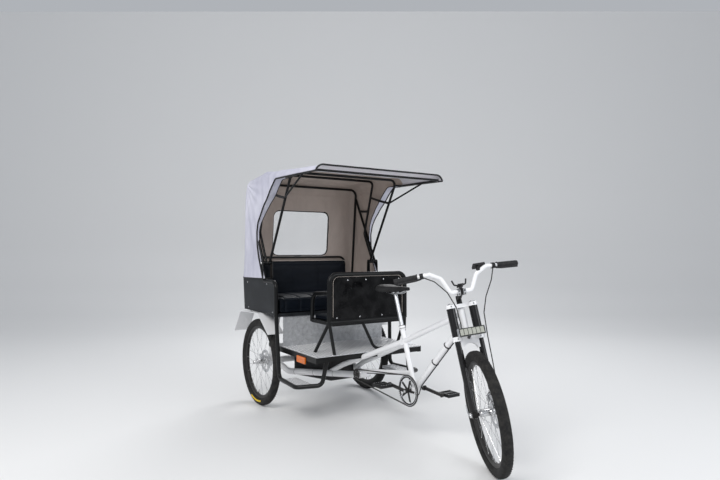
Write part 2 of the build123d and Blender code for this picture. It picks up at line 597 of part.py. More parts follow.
# Cranks and pedals
ring_inner = pitch_radius(CHAINRING_TEETH) - 16
crank = Pos(0, CHAIN_Y, 0) * toothed(CHAINRING_TEETH, 2.8, ring_inner)
crank += across(AXLE_R, (-80, 80), 0, 0)
for k in range(5):
    crank += Rot(0, 72 * k, 0) * Pos(ring_inner / 2 + 3, CHAIN_Y, 0) * Box(ring_inner - 2, 4, 14)
tilt = math.radians(CRANK_TILT)
pedal_x = CRANK_LENGTH * math.cos(tilt)
pedal_z = CRANK_LENGTH * math.sin(tilt)
for side in (-1, 1):
    x = side * pedal_x
    z = side * pedal_z
    arm_y = (side * CRANK_Y[0], side * CRANK_Y[1])
    middle_y = side * sum(CRANK_Y) / 2
    arm = rod((0, middle_y, 0), (x, middle_y, z), 11) & box((-200, 200), sorted(arm_y), (-60, 60))
    crank += arm + across(16, arm_y, 0, 0) + across(13, arm_y, x, z)
    crank += across(6, (side * CRANK_Y[1], side * 188), x, z)
nodes["crankset"] = Pos(BB_X, 0, BB_Z) * crank

pedal = box((-48, 48), (94, 186), (-10, 10))
pedal -= box((-38, -12), (102, 178), (-12, 12)) + box((12, 38), (102, 178), (-12, 12))
pedal -= across(6 + RUNNING_GAP, (90, 190), 0, 0)
nodes["pedal_left"] = Pos(BB_X + pedal_x, 0, BB_Z + pedal_z) * pedal
nodes["pedal_right"] = Pos(BB_X - pedal_x, 0, BB_Z - pedal_z) * mirror(pedal, about=Plane.XZ)

for name, shape in nodes.items():
    export_step(Pos(-MIDDLE_X, 0, 0) * shape, f"parts/{name}.step")
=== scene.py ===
# %% [markdown]
# # Dressing a cycle rickshaw
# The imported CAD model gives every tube, panel and wheel its true place. This lesson loads it as a fixed
# frame, then makes the finishes, the soft pieces and the small parts that turn it into a lifelike vehicle.
# Everything is in metres: +X is forward, +Y is the rider's left and +Z is up.

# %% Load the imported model
import json
import math
import bpy
import bmesh
from mathutils import Matrix, Vector, noise


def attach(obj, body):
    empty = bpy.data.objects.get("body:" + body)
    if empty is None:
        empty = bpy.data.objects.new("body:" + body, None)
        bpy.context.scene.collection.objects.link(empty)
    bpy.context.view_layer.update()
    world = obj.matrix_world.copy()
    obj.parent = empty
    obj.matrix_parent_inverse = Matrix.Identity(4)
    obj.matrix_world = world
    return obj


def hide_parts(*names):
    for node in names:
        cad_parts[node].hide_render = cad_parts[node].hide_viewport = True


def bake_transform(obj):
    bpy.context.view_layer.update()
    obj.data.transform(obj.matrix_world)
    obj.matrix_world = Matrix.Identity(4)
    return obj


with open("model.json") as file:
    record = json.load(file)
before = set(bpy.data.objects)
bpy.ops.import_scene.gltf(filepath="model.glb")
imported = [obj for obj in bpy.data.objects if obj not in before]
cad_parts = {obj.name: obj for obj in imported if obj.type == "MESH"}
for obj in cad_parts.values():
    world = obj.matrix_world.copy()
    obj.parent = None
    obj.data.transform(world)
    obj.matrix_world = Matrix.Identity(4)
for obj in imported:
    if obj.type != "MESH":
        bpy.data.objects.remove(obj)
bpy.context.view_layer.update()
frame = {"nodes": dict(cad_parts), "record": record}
nodes = frame["nodes"]

# %% [markdown]
# ## Measuring
# The CAD source measures X in millimetres ahead of the rear axle, and moves the vehicle back by its middle when
# it saves. One helper does the same here, so each measure below can be read against the source. The front fork
# stands turned to the right, so a second helper turns a point about the steering axis with it.

# %% Places on the vehicle
MIDDLE = 0.955
HEAD = math.radians(72)
STEER_ANGLE = math.radians(-29)
UP = Vector((-math.cos(HEAD), 0, math.sin(HEAD)))
AHEAD = Vector((math.sin(HEAD), 0, math.cos(HEAD)))


def spot(x, y, z):
    """A point given in millimetres ahead of the rear axle, to the left of the middle and above the ground."""
    return Vector((x / 1000 - MIDDLE, y / 1000, z / 1000))


def added(name, data):
    """A new object in the scene that shows the data."""
    obj = bpy.data.objects.new(name, data)
    bpy.context.scene.collection.objects.link(obj)
    return obj



SIDES = ((-1, "right"), (1, "left"))
FRONT_AXLE = spot(2010, 0, 340)
STEER_BASE = FRONT_AXLE - AHEAD * 0.05
STEER = Matrix.Translation(STEER_BASE) @ Matrix.Rotation(STEER_ANGLE, 4, UP) @ Matrix.Translation(-STEER_BASE)


def fork_spot(up, ahead, y):
    """A point of the steering group before it is turned: up along its axis, ahead of it, and to the left."""
    return STEER_BASE + UP * (up / 1000) + AHEAD * (ahead / 1000) + Vector((0, y / 1000, 0))


print("front axle", [round(v, 3) for v in STEER @ FRONT_AXLE])

# %% [markdown]
# ## Camera
# The photograph looks at the vehicle from its front right, at about the height of the saddle. The lens and
# the camera's place come from the outlines of the three wheels, so that the render can be laid over the picture.

# %% Camera at the photograph's angle
CAMERA_AT = spot(4242, -2296, 1230)
CAMERA_YAW = math.radians(147.1)
CAMERA_PITCH = math.radians(1.03)
FOCAL_PIXELS, IMAGE_WIDTH, SENSOR_WIDTH = 565, 720, 36

camera_data = bpy.data.cameras.new("photo_camera")
camera_data.sensor_width = SENSOR_WIDTH
camera_data.lens = FOCAL_PIXELS * SENSOR_WIDTH / IMAGE_WIDTH
camera = added("photo_camera", camera_data)
look = Vector((
    math.cos(CAMERA_PITCH) * math.cos(CAMERA_YAW), math.cos(CAMERA_PITCH) * math.sin(CAMERA_YAW),
    math.sin(CAMERA_PITCH),
))
camera.location = CAMERA_AT
camera.rotation_euler = look.to_track_quat("-Z", "Y").to_euler()
bpy.context.scene.camera = camera
print("lens", round(camera_data.lens, 2), "mm")

# %% [markdown]
# ## Finishes: a small language for shader nodes
# A node tree is easier to read as arithmetic. `Term` wraps one socket and turns each Python sign into a Math
# node, also with a plain number on its left. Every other node comes from `Tree.node`, which takes its type, its
# settings and its inputs. The same class builds the Geometry Nodes trees further on.

# %% Terms and trees
def sign_pair(operation):
    """The methods behind one Python sign: for a term on its left, and for a term on its right."""
    def term_first(term, other):
        return term.tree.node("ShaderNodeMath", {"operation": operation}, {0: term, 1: other})

    def term_last(term, other):
        return term.tree.node("ShaderNodeMath", {"operation": operation}, {0: other, 1: term})

    return term_first, term_last


class Term:
    """A socket that takes part in Python arithmetic."""

    __add__, __radd__ = sign_pair("ADD")
    __sub__, __rsub__ = sign_pair("SUBTRACT")
    __mul__, __rmul__ = sign_pair("MULTIPLY")
    __truediv__, __rtruediv__ = sign_pair("DIVIDE")
    __mod__, __rmod__ = sign_pair("MODULO")
    __gt__, __lt__ = sign_pair("GREATER_THAN")

    def __init__(self, tree, socket):
        self.tree = tree
        self.socket = socket


class Tree:
    """A node tree, and the one method that adds its nodes."""

    def __init__(self, nodes_tree):
        self.tree = nodes_tree

    def node(self, kind, settings=None, values=None, out=0):
        made = self.tree.nodes.new(kind)
        for key, value in (settings or {}).items():
            if key == "stops":
                ramp = made.color_ramp
                while len(ramp.elements) < len(value):
                    ramp.elements.new(0.5)
                for element, (position, colour) in zip(ramp.elements, value):
                    element.position = position
                    element.color = (*colour, 1)
            else:
                setattr(made, key, value)
        for key, value in (values or {}).items():
            self.feed(made.inputs[key], value)
        return Term(self, made.outputs[out])

    def feed(self, socket, value):
        if isinstance(value, Term):
            self.tree.links.new(value.socket, socket)
        elif value is not None:
            socket.default_value = value


print("terms and trees ready")

# %% [markdown]
# Each finish is one Principled shader. What it needs again and again is noise at a real size, a ramp between
# two colours and a bump of a real height, so those get short names. Sizes are in metres, because the pattern
# reads the Object coordinates of pieces whose place is in their mesh.

# %% A finish and its usual parts
finishes = {}


class Finish(Tree):
    """A material with a Principled shader, listed in finishes under its key."""

    def __init__(self, key, name, colour, roughness, metallic=0.0, coat=0.0, shine=0.5):
        material = bpy.data.materials.new(name)
        material.use_nodes = True
        finishes[key] = material
        super().__init__(material.node_tree)
        self.shader = self.tree.nodes["Principled BSDF"]
        self.shader.inputs["Base Color"].default_value = (*colour, 1)
        self.shader.inputs["Roughness"].default_value = roughness
        self.shader.inputs["Metallic"].default_value = metallic
        self.shader.inputs["Coat Weight"].default_value = coat
        self.shader.inputs["Coat Roughness"].default_value = 0.12
        self.shader.inputs["Specular IOR Level"].default_value = shine
        self.place = self.node("ShaderNodeTexCoord", out="Object")

    def noise(self, size, detail=2.0, stretch=(1, 1, 1), rough=0.5):
        """Noise whose features are about size metres, drawn out along an axis by stretch."""
        scale = [1 / (size * s) for s in stretch]
        mapped = self.node("ShaderNodeVectorMath", {"operation": "MULTIPLY"}, {0: self.place, 1: scale})
        values = {"Vector": mapped, "Scale": 1.0, "Detail": detail, "Roughness": rough}
        return self.node("ShaderNodeTexNoise", {}, values)

    def ramp(self, factor, low, high, dark, light):
        """A colour between dark and light, as factor goes from low to high."""
        return self.node("ShaderNodeValToRGB", {"stops": [(low, dark), (high, light)]}, {"Fac": factor})

    def blend(self, factor, first, second):
        values = {"Factor": factor, 6: self.colour(first), 7: self.colour(second)}
        return self.node("ShaderNodeMix", {"data_type": "RGBA"}, values, out=2)

    def colour(self, value):
        return (*value, 1) if isinstance(value, tuple) else value

    def bump(self, height, distance, strength=1.0):
        """A bump where a height of 1 stands distance metres proud."""
        return self.node("ShaderNodeBump", {}, {"Height": height, "Distance": distance, "Strength": strength})

    def set(self, **inputs):
        names = {"color": "Base Color", "roughness": "Roughness", "normal": "Normal", "alpha": "Alpha"}
        for key, value in inputs.items():
            self.feed(self.shader.inputs[names[key]], value)


print("finish maker ready")

# %% [markdown]
# ### Powder coat
# The frame is steel tube with a thick baked coat. It has a faint orange-peel surface, a soft gloss and a little
# road dust low down, so the colour is mixed with a dust colour by height and by a broad noise.

# %% White and black powder coat
DUST_ENDS, DUST_FULL = 0.9, 0.15
DARK_DUST = (0.12, 0.11, 0.10)


def powder_coat(key, name, colour, dust, dust_share, roughness, coat):
    f = Finish(key, name, colour, roughness, coat=coat, shine=0.5 if colour[0] > 0.1 else 0.18)
    height = f.node("ShaderNodeSeparateXYZ", {}, {0: f.place}, out=2)
    low_down = f.node("ShaderNodeMapRange", {}, {0: height, 1: DUST_ENDS, 2: DUST_FULL, 3: 0.0, 4: 1.0})
    soiled = low_down * f.noise(0.07, 5, rough=0.65) * dust_share
    f.set(color=f.blend(soiled, colour, dust))
    f.set(roughness=roughness + soiled * 0.5 + (f.noise(0.02, 3) - 0.5) * 0.08)
    f.set(normal=f.bump(f.noise(0.0016, 1), 0.00003))


powder_coat("white_paint", "white_powder_coat", (0.86, 0.865, 0.885), (0.50, 0.46, 0.41), 0.26, 0.30, 0.5)
powder_coat("black_paint", "black_powder_coat", (0.006, 0.0065, 0.007), (0.09, 0.085, 0.08), 0.16, 0.30, 0.06)
powder_coat("fork_black", "fork_black_coat", (0.009, 0.009, 0.010), DARK_DUST, 0.2, 0.25, 0.3)
powder_coat("crank_black", "crank_black_coat", (0.012, 0.012, 0.013), DARK_DUST, 0.3, 0.36, 0.1)
powder_coat("rim", "rim_black_anodised", (0.011, 0.011, 0.012), DARK_DUST, 0.3, 0.35, 0.1)
print("powder coats:", len(finishes))


# %% [markdown]
# ### Bare metals
# Checker plate is bright rolled aluminium; here its colour is darkened as painted shade, and its mottling is partly
# the mill's and the shoes' and partly a painted reflection. Spokes and bolts are brighter and smoother. One helper
# makes them all. Its measures are how strong and how large the mottling is, and the way in which the brushing runs.

# %% Metals
def metal(key, name, colour, roughness, mottle, mottle_size, brushed=(1, 1, 1), metallic=1.0):
    f = Finish(key, name, colour, roughness, metallic=metallic)
    cloud = f.noise(mottle_size, 4, rough=0.6)
    dull = tuple(c * (1 - mottle) for c in colour)
    f.set(color=f.ramp(cloud, 0.32, 0.68, dull, colour))
    fine = f.noise(0.0012, 2, stretch=brushed)
    f.set(roughness=roughness + (cloud - 0.5) * 0.3 + (fine - 0.5) * 0.12)
    f.set(normal=f.bump(fine, 0.00004))


# Painted shade: the plate's colour sits far below bare aluminium, so the lozenges read as lit against it; its mottle is
# partly a painted reflection.
metal("checker_plate", "rolled_aluminium", (0.47, 0.48, 0.50), 0.34, 0.30, 0.030, metallic=0.15)
# Painted glint: the raised lozenges are the plate's own aluminium, made near-white to stand in for the light that they
# catch.
metal("raised_plate", "raised_lozenges", (0.96, 0.96, 0.97), 0.30, 0.12, 0.02, metallic=0.05)
metal("alloy", "brushed_alloy", (0.74, 0.75, 0.77), 0.34, 0.15, 0.02, (1, 12, 1))
metal("hub", "bright_steel", (0.72, 0.72, 0.73), 0.26, 0.12, 0.015)
metal("chain_steel", "oiled_steel", (0.085, 0.083, 0.08), 0.40, 0.45, 0.009, metallic=0.6)
metal("trim", "trim_aluminium", (0.85, 0.86, 0.88), 0.24, 0.08, 0.05)
print("metals made")


# %% [markdown]
# ### Rubber, vinyl and plastics
# Tyres are matt and a little dusty in the tread. The seats are vinyl, which has a fine pebbled grain with small
# creases and a broad soft sheen. Moulded plastic has a fine spark texture. All three are noise or cells as bump.

# %% Rubber
def rubber(key, name, colour, dust, size):
    f = Finish(key, name, colour, 0.72, shine=0.25)
    cloud = f.noise(size, 5, rough=0.7)
    f.set(color=f.ramp(cloud, 0.38, 0.75, colour, dust))
    f.set(roughness=0.62 + cloud * 0.3)
    f.set(normal=f.bump(f.noise(0.0018, 3), 0.00015))


rubber("tyre", "road_tyre_rubber", (0.010, 0.010, 0.011), (0.040, 0.038, 0.035), 0.03)
rubber("grip_rubber", "grip_rubber", (0.02, 0.02, 0.022), (0.05, 0.05, 0.05), 0.02)
rubber("hose", "hose_rubber", (0.014, 0.014, 0.015), (0.04, 0.04, 0.04), 0.02)
print("rubbers made")


# %% Vinyl with a pebbled grain
def vinyl(key, name, colour, light, grain):
    f = Finish(key, name, colour, 0.42, shine=0.11)
    cells = f.node("ShaderNodeTexVoronoi", {"feature": "SMOOTH_F1"}, {"Vector": f.place, "Scale": 1 / grain})
    creases = f.noise(0.05, 6, stretch=(1, 3, 1), rough=0.62)
    f.set(color=f.ramp(creases, 0.35, 0.8, colour, light))
    f.set(roughness=0.36 + creases * 0.2 + cells * 0.08)
    f.set(normal=f.bump(cells * 0.45 + creases * 1.4, 0.0007, 0.7))


vinyl("vinyl", "black_vinyl", (0.003, 0.0048, 0.0085), (0.008, 0.011, 0.017), 0.0022)
vinyl("saddle_black", "saddle_cover", (0.012, 0.012, 0.013), (0.03, 0.03, 0.031), 0.0018)
print("vinyl made")


# %% Moulded plastic and painted sheet
def moulded(key, name, colour, roughness, grain, depth, shine=0.3):
    f = Finish(key, name, colour, roughness, shine=shine)
    cloud = f.noise(0.08, 4)
    worn = tuple(min(1.0, c * 1.7 + 0.012) for c in colour)
    f.set(color=f.ramp(cloud, 0.4, 0.85, colour, worn))
    f.set(roughness=roughness + (cloud - 0.5) * 0.16)
    f.set(normal=f.bump(f.noise(grain, 2), depth))


moulded("black_plastic", "black_moulded_plastic", (0.010, 0.010, 0.011), 0.5, 0.0011, 0.00012)
moulded("panel_grey", "charcoal_panel", (0.012, 0.0135, 0.016), 0.42, 0.0009, 0.00005, shine=0.2)
moulded("gloss_black_sheet", "gloss_black_sheet", (0.002, 0.002, 0.0024), 0.14, 0.003, 0.00001, shine=0.16)
moulded("piping", "pale_piping", (0.46, 0.41, 0.37), 0.5, 0.001, 0.00005)
print("plastics made")


# %% [markdown]
# ### Lenses
# A reflector is a clear amber block with a field of small prisms behind it. Small cells in the bump break up the
# shine as the prisms do. The rear lamps have the same look in red, and the lamp bar has pale cells.

# %% Lenses
def lens(key, name, colour, edge, prism, painted_glow=0.0):
    f = Finish(key, name, colour, 0.22, coat=0.25)
    cells = f.node("ShaderNodeTexVoronoi", {"feature": "DISTANCE_TO_EDGE"}, {"Vector": f.place, "Scale": 1 / prism})
    f.set(color=f.ramp(cells, 0.0, 0.28, edge, colour))
    f.set(normal=f.bump(cells, 0.0012, 0.6))
    # Painted glow: the amber reflectors and the red lenses give off a little light of their own colour, though nothing
    # behind them is lit.
    f.shader.inputs["Emission Color"].default_value = (*colour, 1)
    f.shader.inputs["Emission Strength"].default_value = painted_glow


lens("amber", "amber_prisms", (0.84, 0.21, 0.004), (0.50, 0.08, 0.002), 0.006, 0.03)
lens("red_lens", "red_prisms", (0.50, 0.008, 0.008), (0.22, 0.003, 0.003), 0.006, 0.05)
moulded("lamp", "lamp_housing", (0.02, 0.02, 0.021), 0.38, 0.0012, 0.0001)
lens("lamp_cell", "cream_lamp_cells", (0.50, 0.51, 0.46), (0.30, 0.31, 0.27), 0.004)
print("lenses made")


# %% [markdown]
# ### Hood cloth
# The hood is coated canvas: nearly white outside, taupe inside, where less light falls and the coating is matt.
# Weave and small creases are a bump. The sheet gets the two colours later from a wall with one finish on its
# outer face and another on its inner face, as the real cloth is coated on one side only.

# %% Canvas, binding and window film
LINING_ENDS = (-0.452, -0.444)


def canvas(key, name, colour, shade, weave, crease_depth, roughness, ahead=None):
    """Coated cloth; ahead is its colour in front of the foremost bow, where there is no lining. Where ahead is given,
    the cloth also glows faintly in its own colour: painted light through the canvas.
    """
    f = Finish(key, name, colour, roughness)
    x, y, z = [f.node("ShaderNodeSeparateXYZ", {}, {0: f.place}, out=k) for k in range(3)]
    warp, weft = [f.node("ShaderNodeMath", {"operation": "SINE"}, {0: way * (6.28 / weave)}) for way in (x + y, z)]
    creases = f.noise(0.09, 7, stretch=(1.0, 1.0, 2.4), rough=0.6)
    broad = f.noise(0.4, 3)
    # Painted shade: the ramp darkens the cloth towards its shade colour where the crease and broad noises are low, so
    # shade lies in the folds.
    tone_with_painted_shade = f.ramp(creases * 0.55 + broad * 0.45, 0.30, 0.68, shade, colour)
    if ahead:
        past_bow = f.node("ShaderNodeMapRange", {}, {0: x, 1: LINING_ENDS[0], 2: LINING_ENDS[1], 3: 0.0, 4: 1.0})
        tone_with_painted_shade = f.blend(past_bow, tone_with_painted_shade, ahead)
        # Painted light: the lining and the visor's underside glow with their own colour, standing in for daylight
        # through the canvas.
        f.feed(f.shader.inputs["Emission Color"], tone_with_painted_shade)
        f.shader.inputs["Emission Strength"].default_value = 0.12
    f.set(color=tone_with_painted_shade)
    f.set(roughness=roughness + (broad - 0.5) * 0.15)
    f.set(normal=f.bump(creases * crease_depth + warp * weft * 0.00012, 1.0, 0.8))


# The outside's blue-grey is darker than the near-white cloth: painted shade over the hood's sides.
canvas("hood_fabric", "canvas_outside", (0.70, 0.70, 0.79), (0.47, 0.47, 0.57), 0.0024, 0.011, 0.78)
canvas("hood_lining", "canvas_lining", (0.44, 0.375, 0.34), (0.33, 0.278, 0.250), 0.0024, 0.013, 0.85,
       ahead=(0.62, 0.605, 0.65))
moulded("binding", "black_binding", (0.012, 0.012, 0.013), 0.62, 0.0008, 0.0002)
moulded("webbing", "black_webbing", (0.014, 0.014, 0.015), 0.7, 0.0016, 0.0006)

film = Finish("clear_film", "clear_window_film", (0.86, 0.88, 0.90), 0.06)
film_ripple = film.noise(0.16, 4, stretch=(1, 1, 1.8))
film.set(alpha=0.10 + film_ripple * 0.10, normal=film.bump(film_ripple, 0.006, 0.5))
print("finishes in all:", len(finishes))

# %% [markdown]
# Each CAD node already names the kind of finish it has. One loop looks the name up, so the tubes and panels
# whose shape is right are dressed at once, and only the finish that a piece needs for itself is set one by one.

# %% Dress the CAD pieces
node_finish = {entry["node"]: entry["material_slot"] for entry in frame["record"]["subparts"]}
node_finish["jump_seat_panel"] = "gloss_black_sheet"

for name, obj in nodes.items():
    if not obj.material_slots:
        obj.data.materials.append(None)
    for material_slot in obj.material_slots:
        material_slot.material = finishes[node_finish[name]]
print("dressed", len(nodes), "CAD pieces")


# %% [markdown]
# ## Making meshes
# Three helpers carry most of the modelling. `new_mesh` turns points and faces into a piece that already has its
# finish and its smooth shading. `lathe` turns a profile round an axle, as a rim or a hub is turned. `tube`
# follows a smooth curve with a round bar, as a bound edge or a welt does.

# %% Mesh helpers
def new_mesh(name, points, faces, finish, smooth=True, sharp=35):
    mesh = bpy.data.meshes.new(name)
    mesh.from_pydata([tuple(p) for p in points], [], faces)
    mesh.materials.append(finishes[finish])
    obj = added(name, mesh)
    if smooth:
        shade(obj, sharp)
    return obj


def grid_faces(rows, columns, round_rows=False, round_columns=False):
    """The faces of a grid of points laid row by row, closed on itself where that is asked for."""
    faces = []
    for k in range(rows if round_rows else rows - 1):
        for j in range(columns if round_columns else columns - 1):
            here, ahead = k * columns, (k + 1) % rows * columns
            beside = (j + 1) % columns
            faces.append((here + j, here + beside, ahead + beside, ahead + j))
    return faces


def shade(obj, sharp=35):
    """Smooth shading that stays crisp where faces meet at more than sharp degrees."""
    obj.data.shade_smooth()
    obj.data.set_sharp_from_angle(angle=math.radians(sharp))


def outward(obj, gap=0.00005):
    """Merge doubles and turn every face outwards."""
    work = bmesh.new()
    work.from_mesh(obj.data)
    bmesh.ops.remove_doubles(work, verts=work.verts, dist=gap)
    bmesh.ops.recalc_face_normals(work, faces=work.faces)
    work.to_mesh(obj.data)
    work.free()
    obj.data.update()


def joined(name, parts):
    """One piece from several, each keeping its finish."""
    work = bmesh.new()
    slots = []
    for part in parts:
        start = len(work.faces)
        work.from_mesh(part.data)
        work.faces.ensure_lookup_table()
        shift = []
        for material in part.data.materials:
            if material not in slots:
                slots.append(material)
            shift.append(slots.index(material))
        for face in work.faces[start:]:
            face.material_index = shift[face.material_index] if shift else 0
    mesh = bpy.data.meshes.new(name)
    work.to_mesh(mesh)
    work.free()
    for material in slots:
        mesh.materials.append(material)
    for part in parts:
        bpy.data.objects.remove(part)
    return added(name, mesh)


def settle(obj):
    """The evaluated piece as a plain mesh of its own, with no modifier left."""
    bpy.context.view_layer.update()
    seen = obj.evaluated_get(bpy.context.evaluated_depsgraph_get())
    mesh = bpy.data.meshes.new_from_object(seen)
    name = obj.name
    bpy.data.objects.remove(obj)
    mesh.name = name
    return added(name, mesh)


def lathe(name, profile, finish, steps=96, closed=True, sharp=30):
    """A profile of (radius, y) millimetres turned about the Y axis at the origin."""
    points = []
    for k in range(steps):
        a = 2 * math.pi * k / steps
        points += [(r / 1000 * math.cos(a), y / 1000, r / 1000 * math.sin(a)) for r, y in profile]
    obj = new_mesh(name, points, grid_faces(steps, len(profile), True, closed), finish)
    outward(obj)
    shade(obj, sharp)
    return obj


def tube(name, points, radius, finish, closed=False, fine=6):
    """A round bar of radius metres along a smooth curve through the points."""
    curve = bpy.data.curves.new(name, "CURVE")
    curve.dimensions = "3D"
    line = curve.splines.new("BEZIER")
    line.bezier_points.add(len(points) - 1)
    for knot, p in zip(line.bezier_points, points):
        knot.co = p
        knot.handle_left_type = knot.handle_right_type = "AUTO"
    line.use_cyclic_u = closed
    curve.resolution_u = fine
    curve.bevel_depth = radius
    curve.bevel_resolution = 1
    curve.use_fill_caps = not closed
    curve.materials.append(finishes[finish])
    made = settle(added(name, curve))
    shade(made, 50)
    return made


print("mesh helpers ready")

# %% [markdown]
# ## Patterns that repeat
# Spokes, chain links, rivets, tread and stitches are each one small shape set out by a rule. A Geometry Nodes
# tree states the rule once, with its sizes as named inputs. `Pattern` starts such a tree, and `make` runs it on
# a carrier mesh and bakes the result, because a plain mesh is what every later step can read.

# %% Geometry Nodes as patterns
class Pattern(Tree):
    """A Geometry Nodes tree; each named size is an input of it, and read here as an attribute."""

    def __init__(self, name, **sizes):
        group = bpy.data.node_groups.new(name, "GeometryNodeTree")
        super().__init__(group)
        group.interface.new_socket("Geometry", in_out="INPUT", socket_type="NodeSocketGeometry")
        self.key = {}
        for label, value in sizes.items():
            kind = "NodeSocketInt" if isinstance(value, int) else "NodeSocketFloat"
            socket = group.interface.new_socket(label, in_out="INPUT", socket_type=kind)
            socket.default_value = value
            self.key[label] = socket.identifier
        socket = group.interface.new_socket("finish", in_out="INPUT", socket_type="NodeSocketMaterial")
        self.key["finish"] = socket.identifier
        group.interface.new_socket("Geometry", in_out="OUTPUT", socket_type="NodeSocketGeometry")
        entry = group.nodes.new("NodeGroupInput")
        self.carrier = Term(self, entry.outputs["Geometry"])
        self.material = Term(self, entry.outputs["finish"])
        for label in sizes:
            setattr(self, label, Term(self, entry.outputs[label]))
        self.exit = group.nodes.new("NodeGroupOutput")
        self.index = self.node("GeometryNodeInputIndex")

    def vector(self, x, y, z):
        return self.node("ShaderNodeCombineXYZ", {}, {0: x, 1: y, 2: z})

    def moved(self, geometry, offset, turn=(0, 0, 0), scale=(1, 1, 1)):
        values = {"Geometry": geometry, "Translation": offset, "Rotation": turn, "Scale": scale}
        return self.node("GeometryNodeTransform", {}, values)

    def together(self, *parts):
        made = self.tree.nodes.new("GeometryNodeJoinGeometry")
        for part in parts:
            self.tree.links.new(part.socket, made.inputs[0])
        return Term(self, made.outputs[0])

    def cylinder(self, sides, radius, depth):
        return self.node("GeometryNodeMeshCylinder", {}, {"Vertices": sides, "Radius": radius, "Depth": depth})

    def block(self, *size):
        return self.node("GeometryNodeMeshCube", {}, {"Size": self.vector(*size)})

    def circle(self, sides, radius):
        return self.node("GeometryNodeCurvePrimitiveCircle", {}, {"Resolution": sides, "Radius": radius})

    def bar(self, path, profile, caps=False):
        values = {"Curve": path, "Profile Curve": profile, "Fill Caps": caps}
        return self.node("GeometryNodeCurveToMesh", {}, values)

    def dome(self, segments, rings, *half_size):
        ball = self.node("GeometryNodeMeshUVSphere", {}, {"Segments": segments, "Rings": rings, "Radius": 1.0})
        return self.moved(ball, (0, 0, 0), scale=self.vector(*half_size))

    def along(self, mode, measure, value):
        """Points set out evenly along the carrier's edges, with the tangent at each."""
        made = self.tree.nodes.new("GeometryNodeCurveToPoints")
        made.mode = mode
        self.feed(made.inputs["Curve"], self.node("GeometryNodeMeshToCurve", {}, {0: self.carrier}))
        self.feed(made.inputs[measure], value)
        return Term(self, made.outputs["Points"]), Term(self, made.outputs["Tangent"])

    def copies(self, points, shape, rotation=None, chosen=None):
        values = {"Points": points, "Instance": shape, "Rotation": rotation, "Selection": chosen}
        return self.node("GeometryNodeInstanceOnPoints", {}, values)

    def spun(self, geometry, count, phase=0.0):
        """Copies of a shape turned evenly about the Y axis."""
        heap = self.node("GeometryNodeMeshLine", {}, {"Count": count, "Offset": (0, 0, 0)})
        return self.copies(heap, geometry, self.vector(0.0, self.index * (2 * math.pi) / count + phase, 0.0))

    def facing(self, axis="Z", pivot="AUTO", vector=None):
        """A rotation that turns axis to the carrier's own facing attribute, or to the vector given."""
        if vector is None:
            vector = self.node("GeometryNodeInputNamedAttribute", {"data_type": "FLOAT_VECTOR"}, {"Name": "facing"})
        return self.node("FunctionNodeAlignRotationToVector", {"axis": axis, "pivot_axis": pivot}, {"Vector": vector})

    def done(self, geometry):
        real = self.node("GeometryNodeRealizeInstances", {}, {0: geometry})
        self.feed(self.exit.inputs[0], self.node(
            "GeometryNodeSetMaterial", {}, {"Geometry": real, "Material": self.material}))

    def make(self, name, finish, carrier=None, **sizes):
        if carrier is None:
            carrier = new_mesh(name, [(0, 0, 0)], [], finish, smooth=False)
        carrier.name = name
        modifier = carrier.modifiers.new("pattern", "NODES")
        modifier.node_group = self.tree
        modifier[self.key["finish"]] = finishes[finish]
        for label, value in sizes.items():
            modifier[self.key[label]] = value
        made = settle(carrier)
        if len(made.data.materials) == 0:
            made.data.materials.append(finishes[finish])
        return made


def line_carrier(name, points, closed=False):
    """A mesh of edges for a pattern to follow."""
    mesh = bpy.data.meshes.new(name)
    edges = [(k, k + 1) for k in range(len(points) - 1)]
    if closed:
        edges.append((len(points) - 1, 0))
    mesh.from_pydata([tuple(p) for p in points], edges, [])
    return added(name, mesh)


def dot_carrier(name, dots):
    """Loose points, each with the direction that it faces."""
    mesh = bpy.data.meshes.new(name)
    mesh.from_pydata([tuple(p) for p, facing in dots], [], [])
    facing_attribute = mesh.attributes.new("facing", "FLOAT_VECTOR", "POINT")
    for item, (p, facing) in zip(facing_attribute.data, dots):
        item.vector = facing
    return added(name, mesh)


print("pattern maker ready")

# %% [markdown]
# Stitching runs along the seams of the hood and round its window: a short round thread, a gap, and the next one.
# The tree turns the carrier's edges into a curve, sets out points a stitch length apart, and lays a thread along
# the tangent at each.

# %% Stitches, rings and rivets
stitching = Pattern("stitching", spacing=0.009, thread=0.0007)
stitch_points, tangent = stitching.along("LENGTH", "Length", stitching.spacing)
stitch = stitching.cylinder(5, stitching.thread, stitching.spacing * 0.62)
stitching.done(stitching.copies(stitch_points, stitch, stitching.facing("Z", vector=tangent)))

rings = Pattern("rings", count=12, radius=0.017, bead=0.001)
ring_points, tangent = rings.along("COUNT", "Count", rings.count)
ring = rings.bar(rings.circle(20, rings.radius), rings.circle(5, rings.bead))
rings.done(rings.copies(ring_points, ring, rings.facing("Z", vector=tangent)))

rivets = Pattern("rivets", radius=0.005, height=0.0025)
rivet_head = rivets.dome(12, 8, rivets.radius, rivets.radius, rivets.height)
rivets.done(rivets.copies(rivets.carrier, rivet_head, rivets.facing()))

bolts = Pattern("bolts", radius=0.006, height=0.005)
bolt_head = bolts.node("GeometryNodeMeshCone", {}, {
    "Vertices": 6, "Radius Top": bolts.radius * 0.94, "Radius Bottom": bolts.radius, "Depth": bolts.height})
bolt_washer = bolts.cylinder(16, bolts.radius * 1.45, bolts.height * 0.5)
bolts.done(bolts.copies(bolts.carrier, bolts.together(bolt_head, bolt_washer), bolts.facing()))
print("patterns: stitching, rings, rivets, bolts")


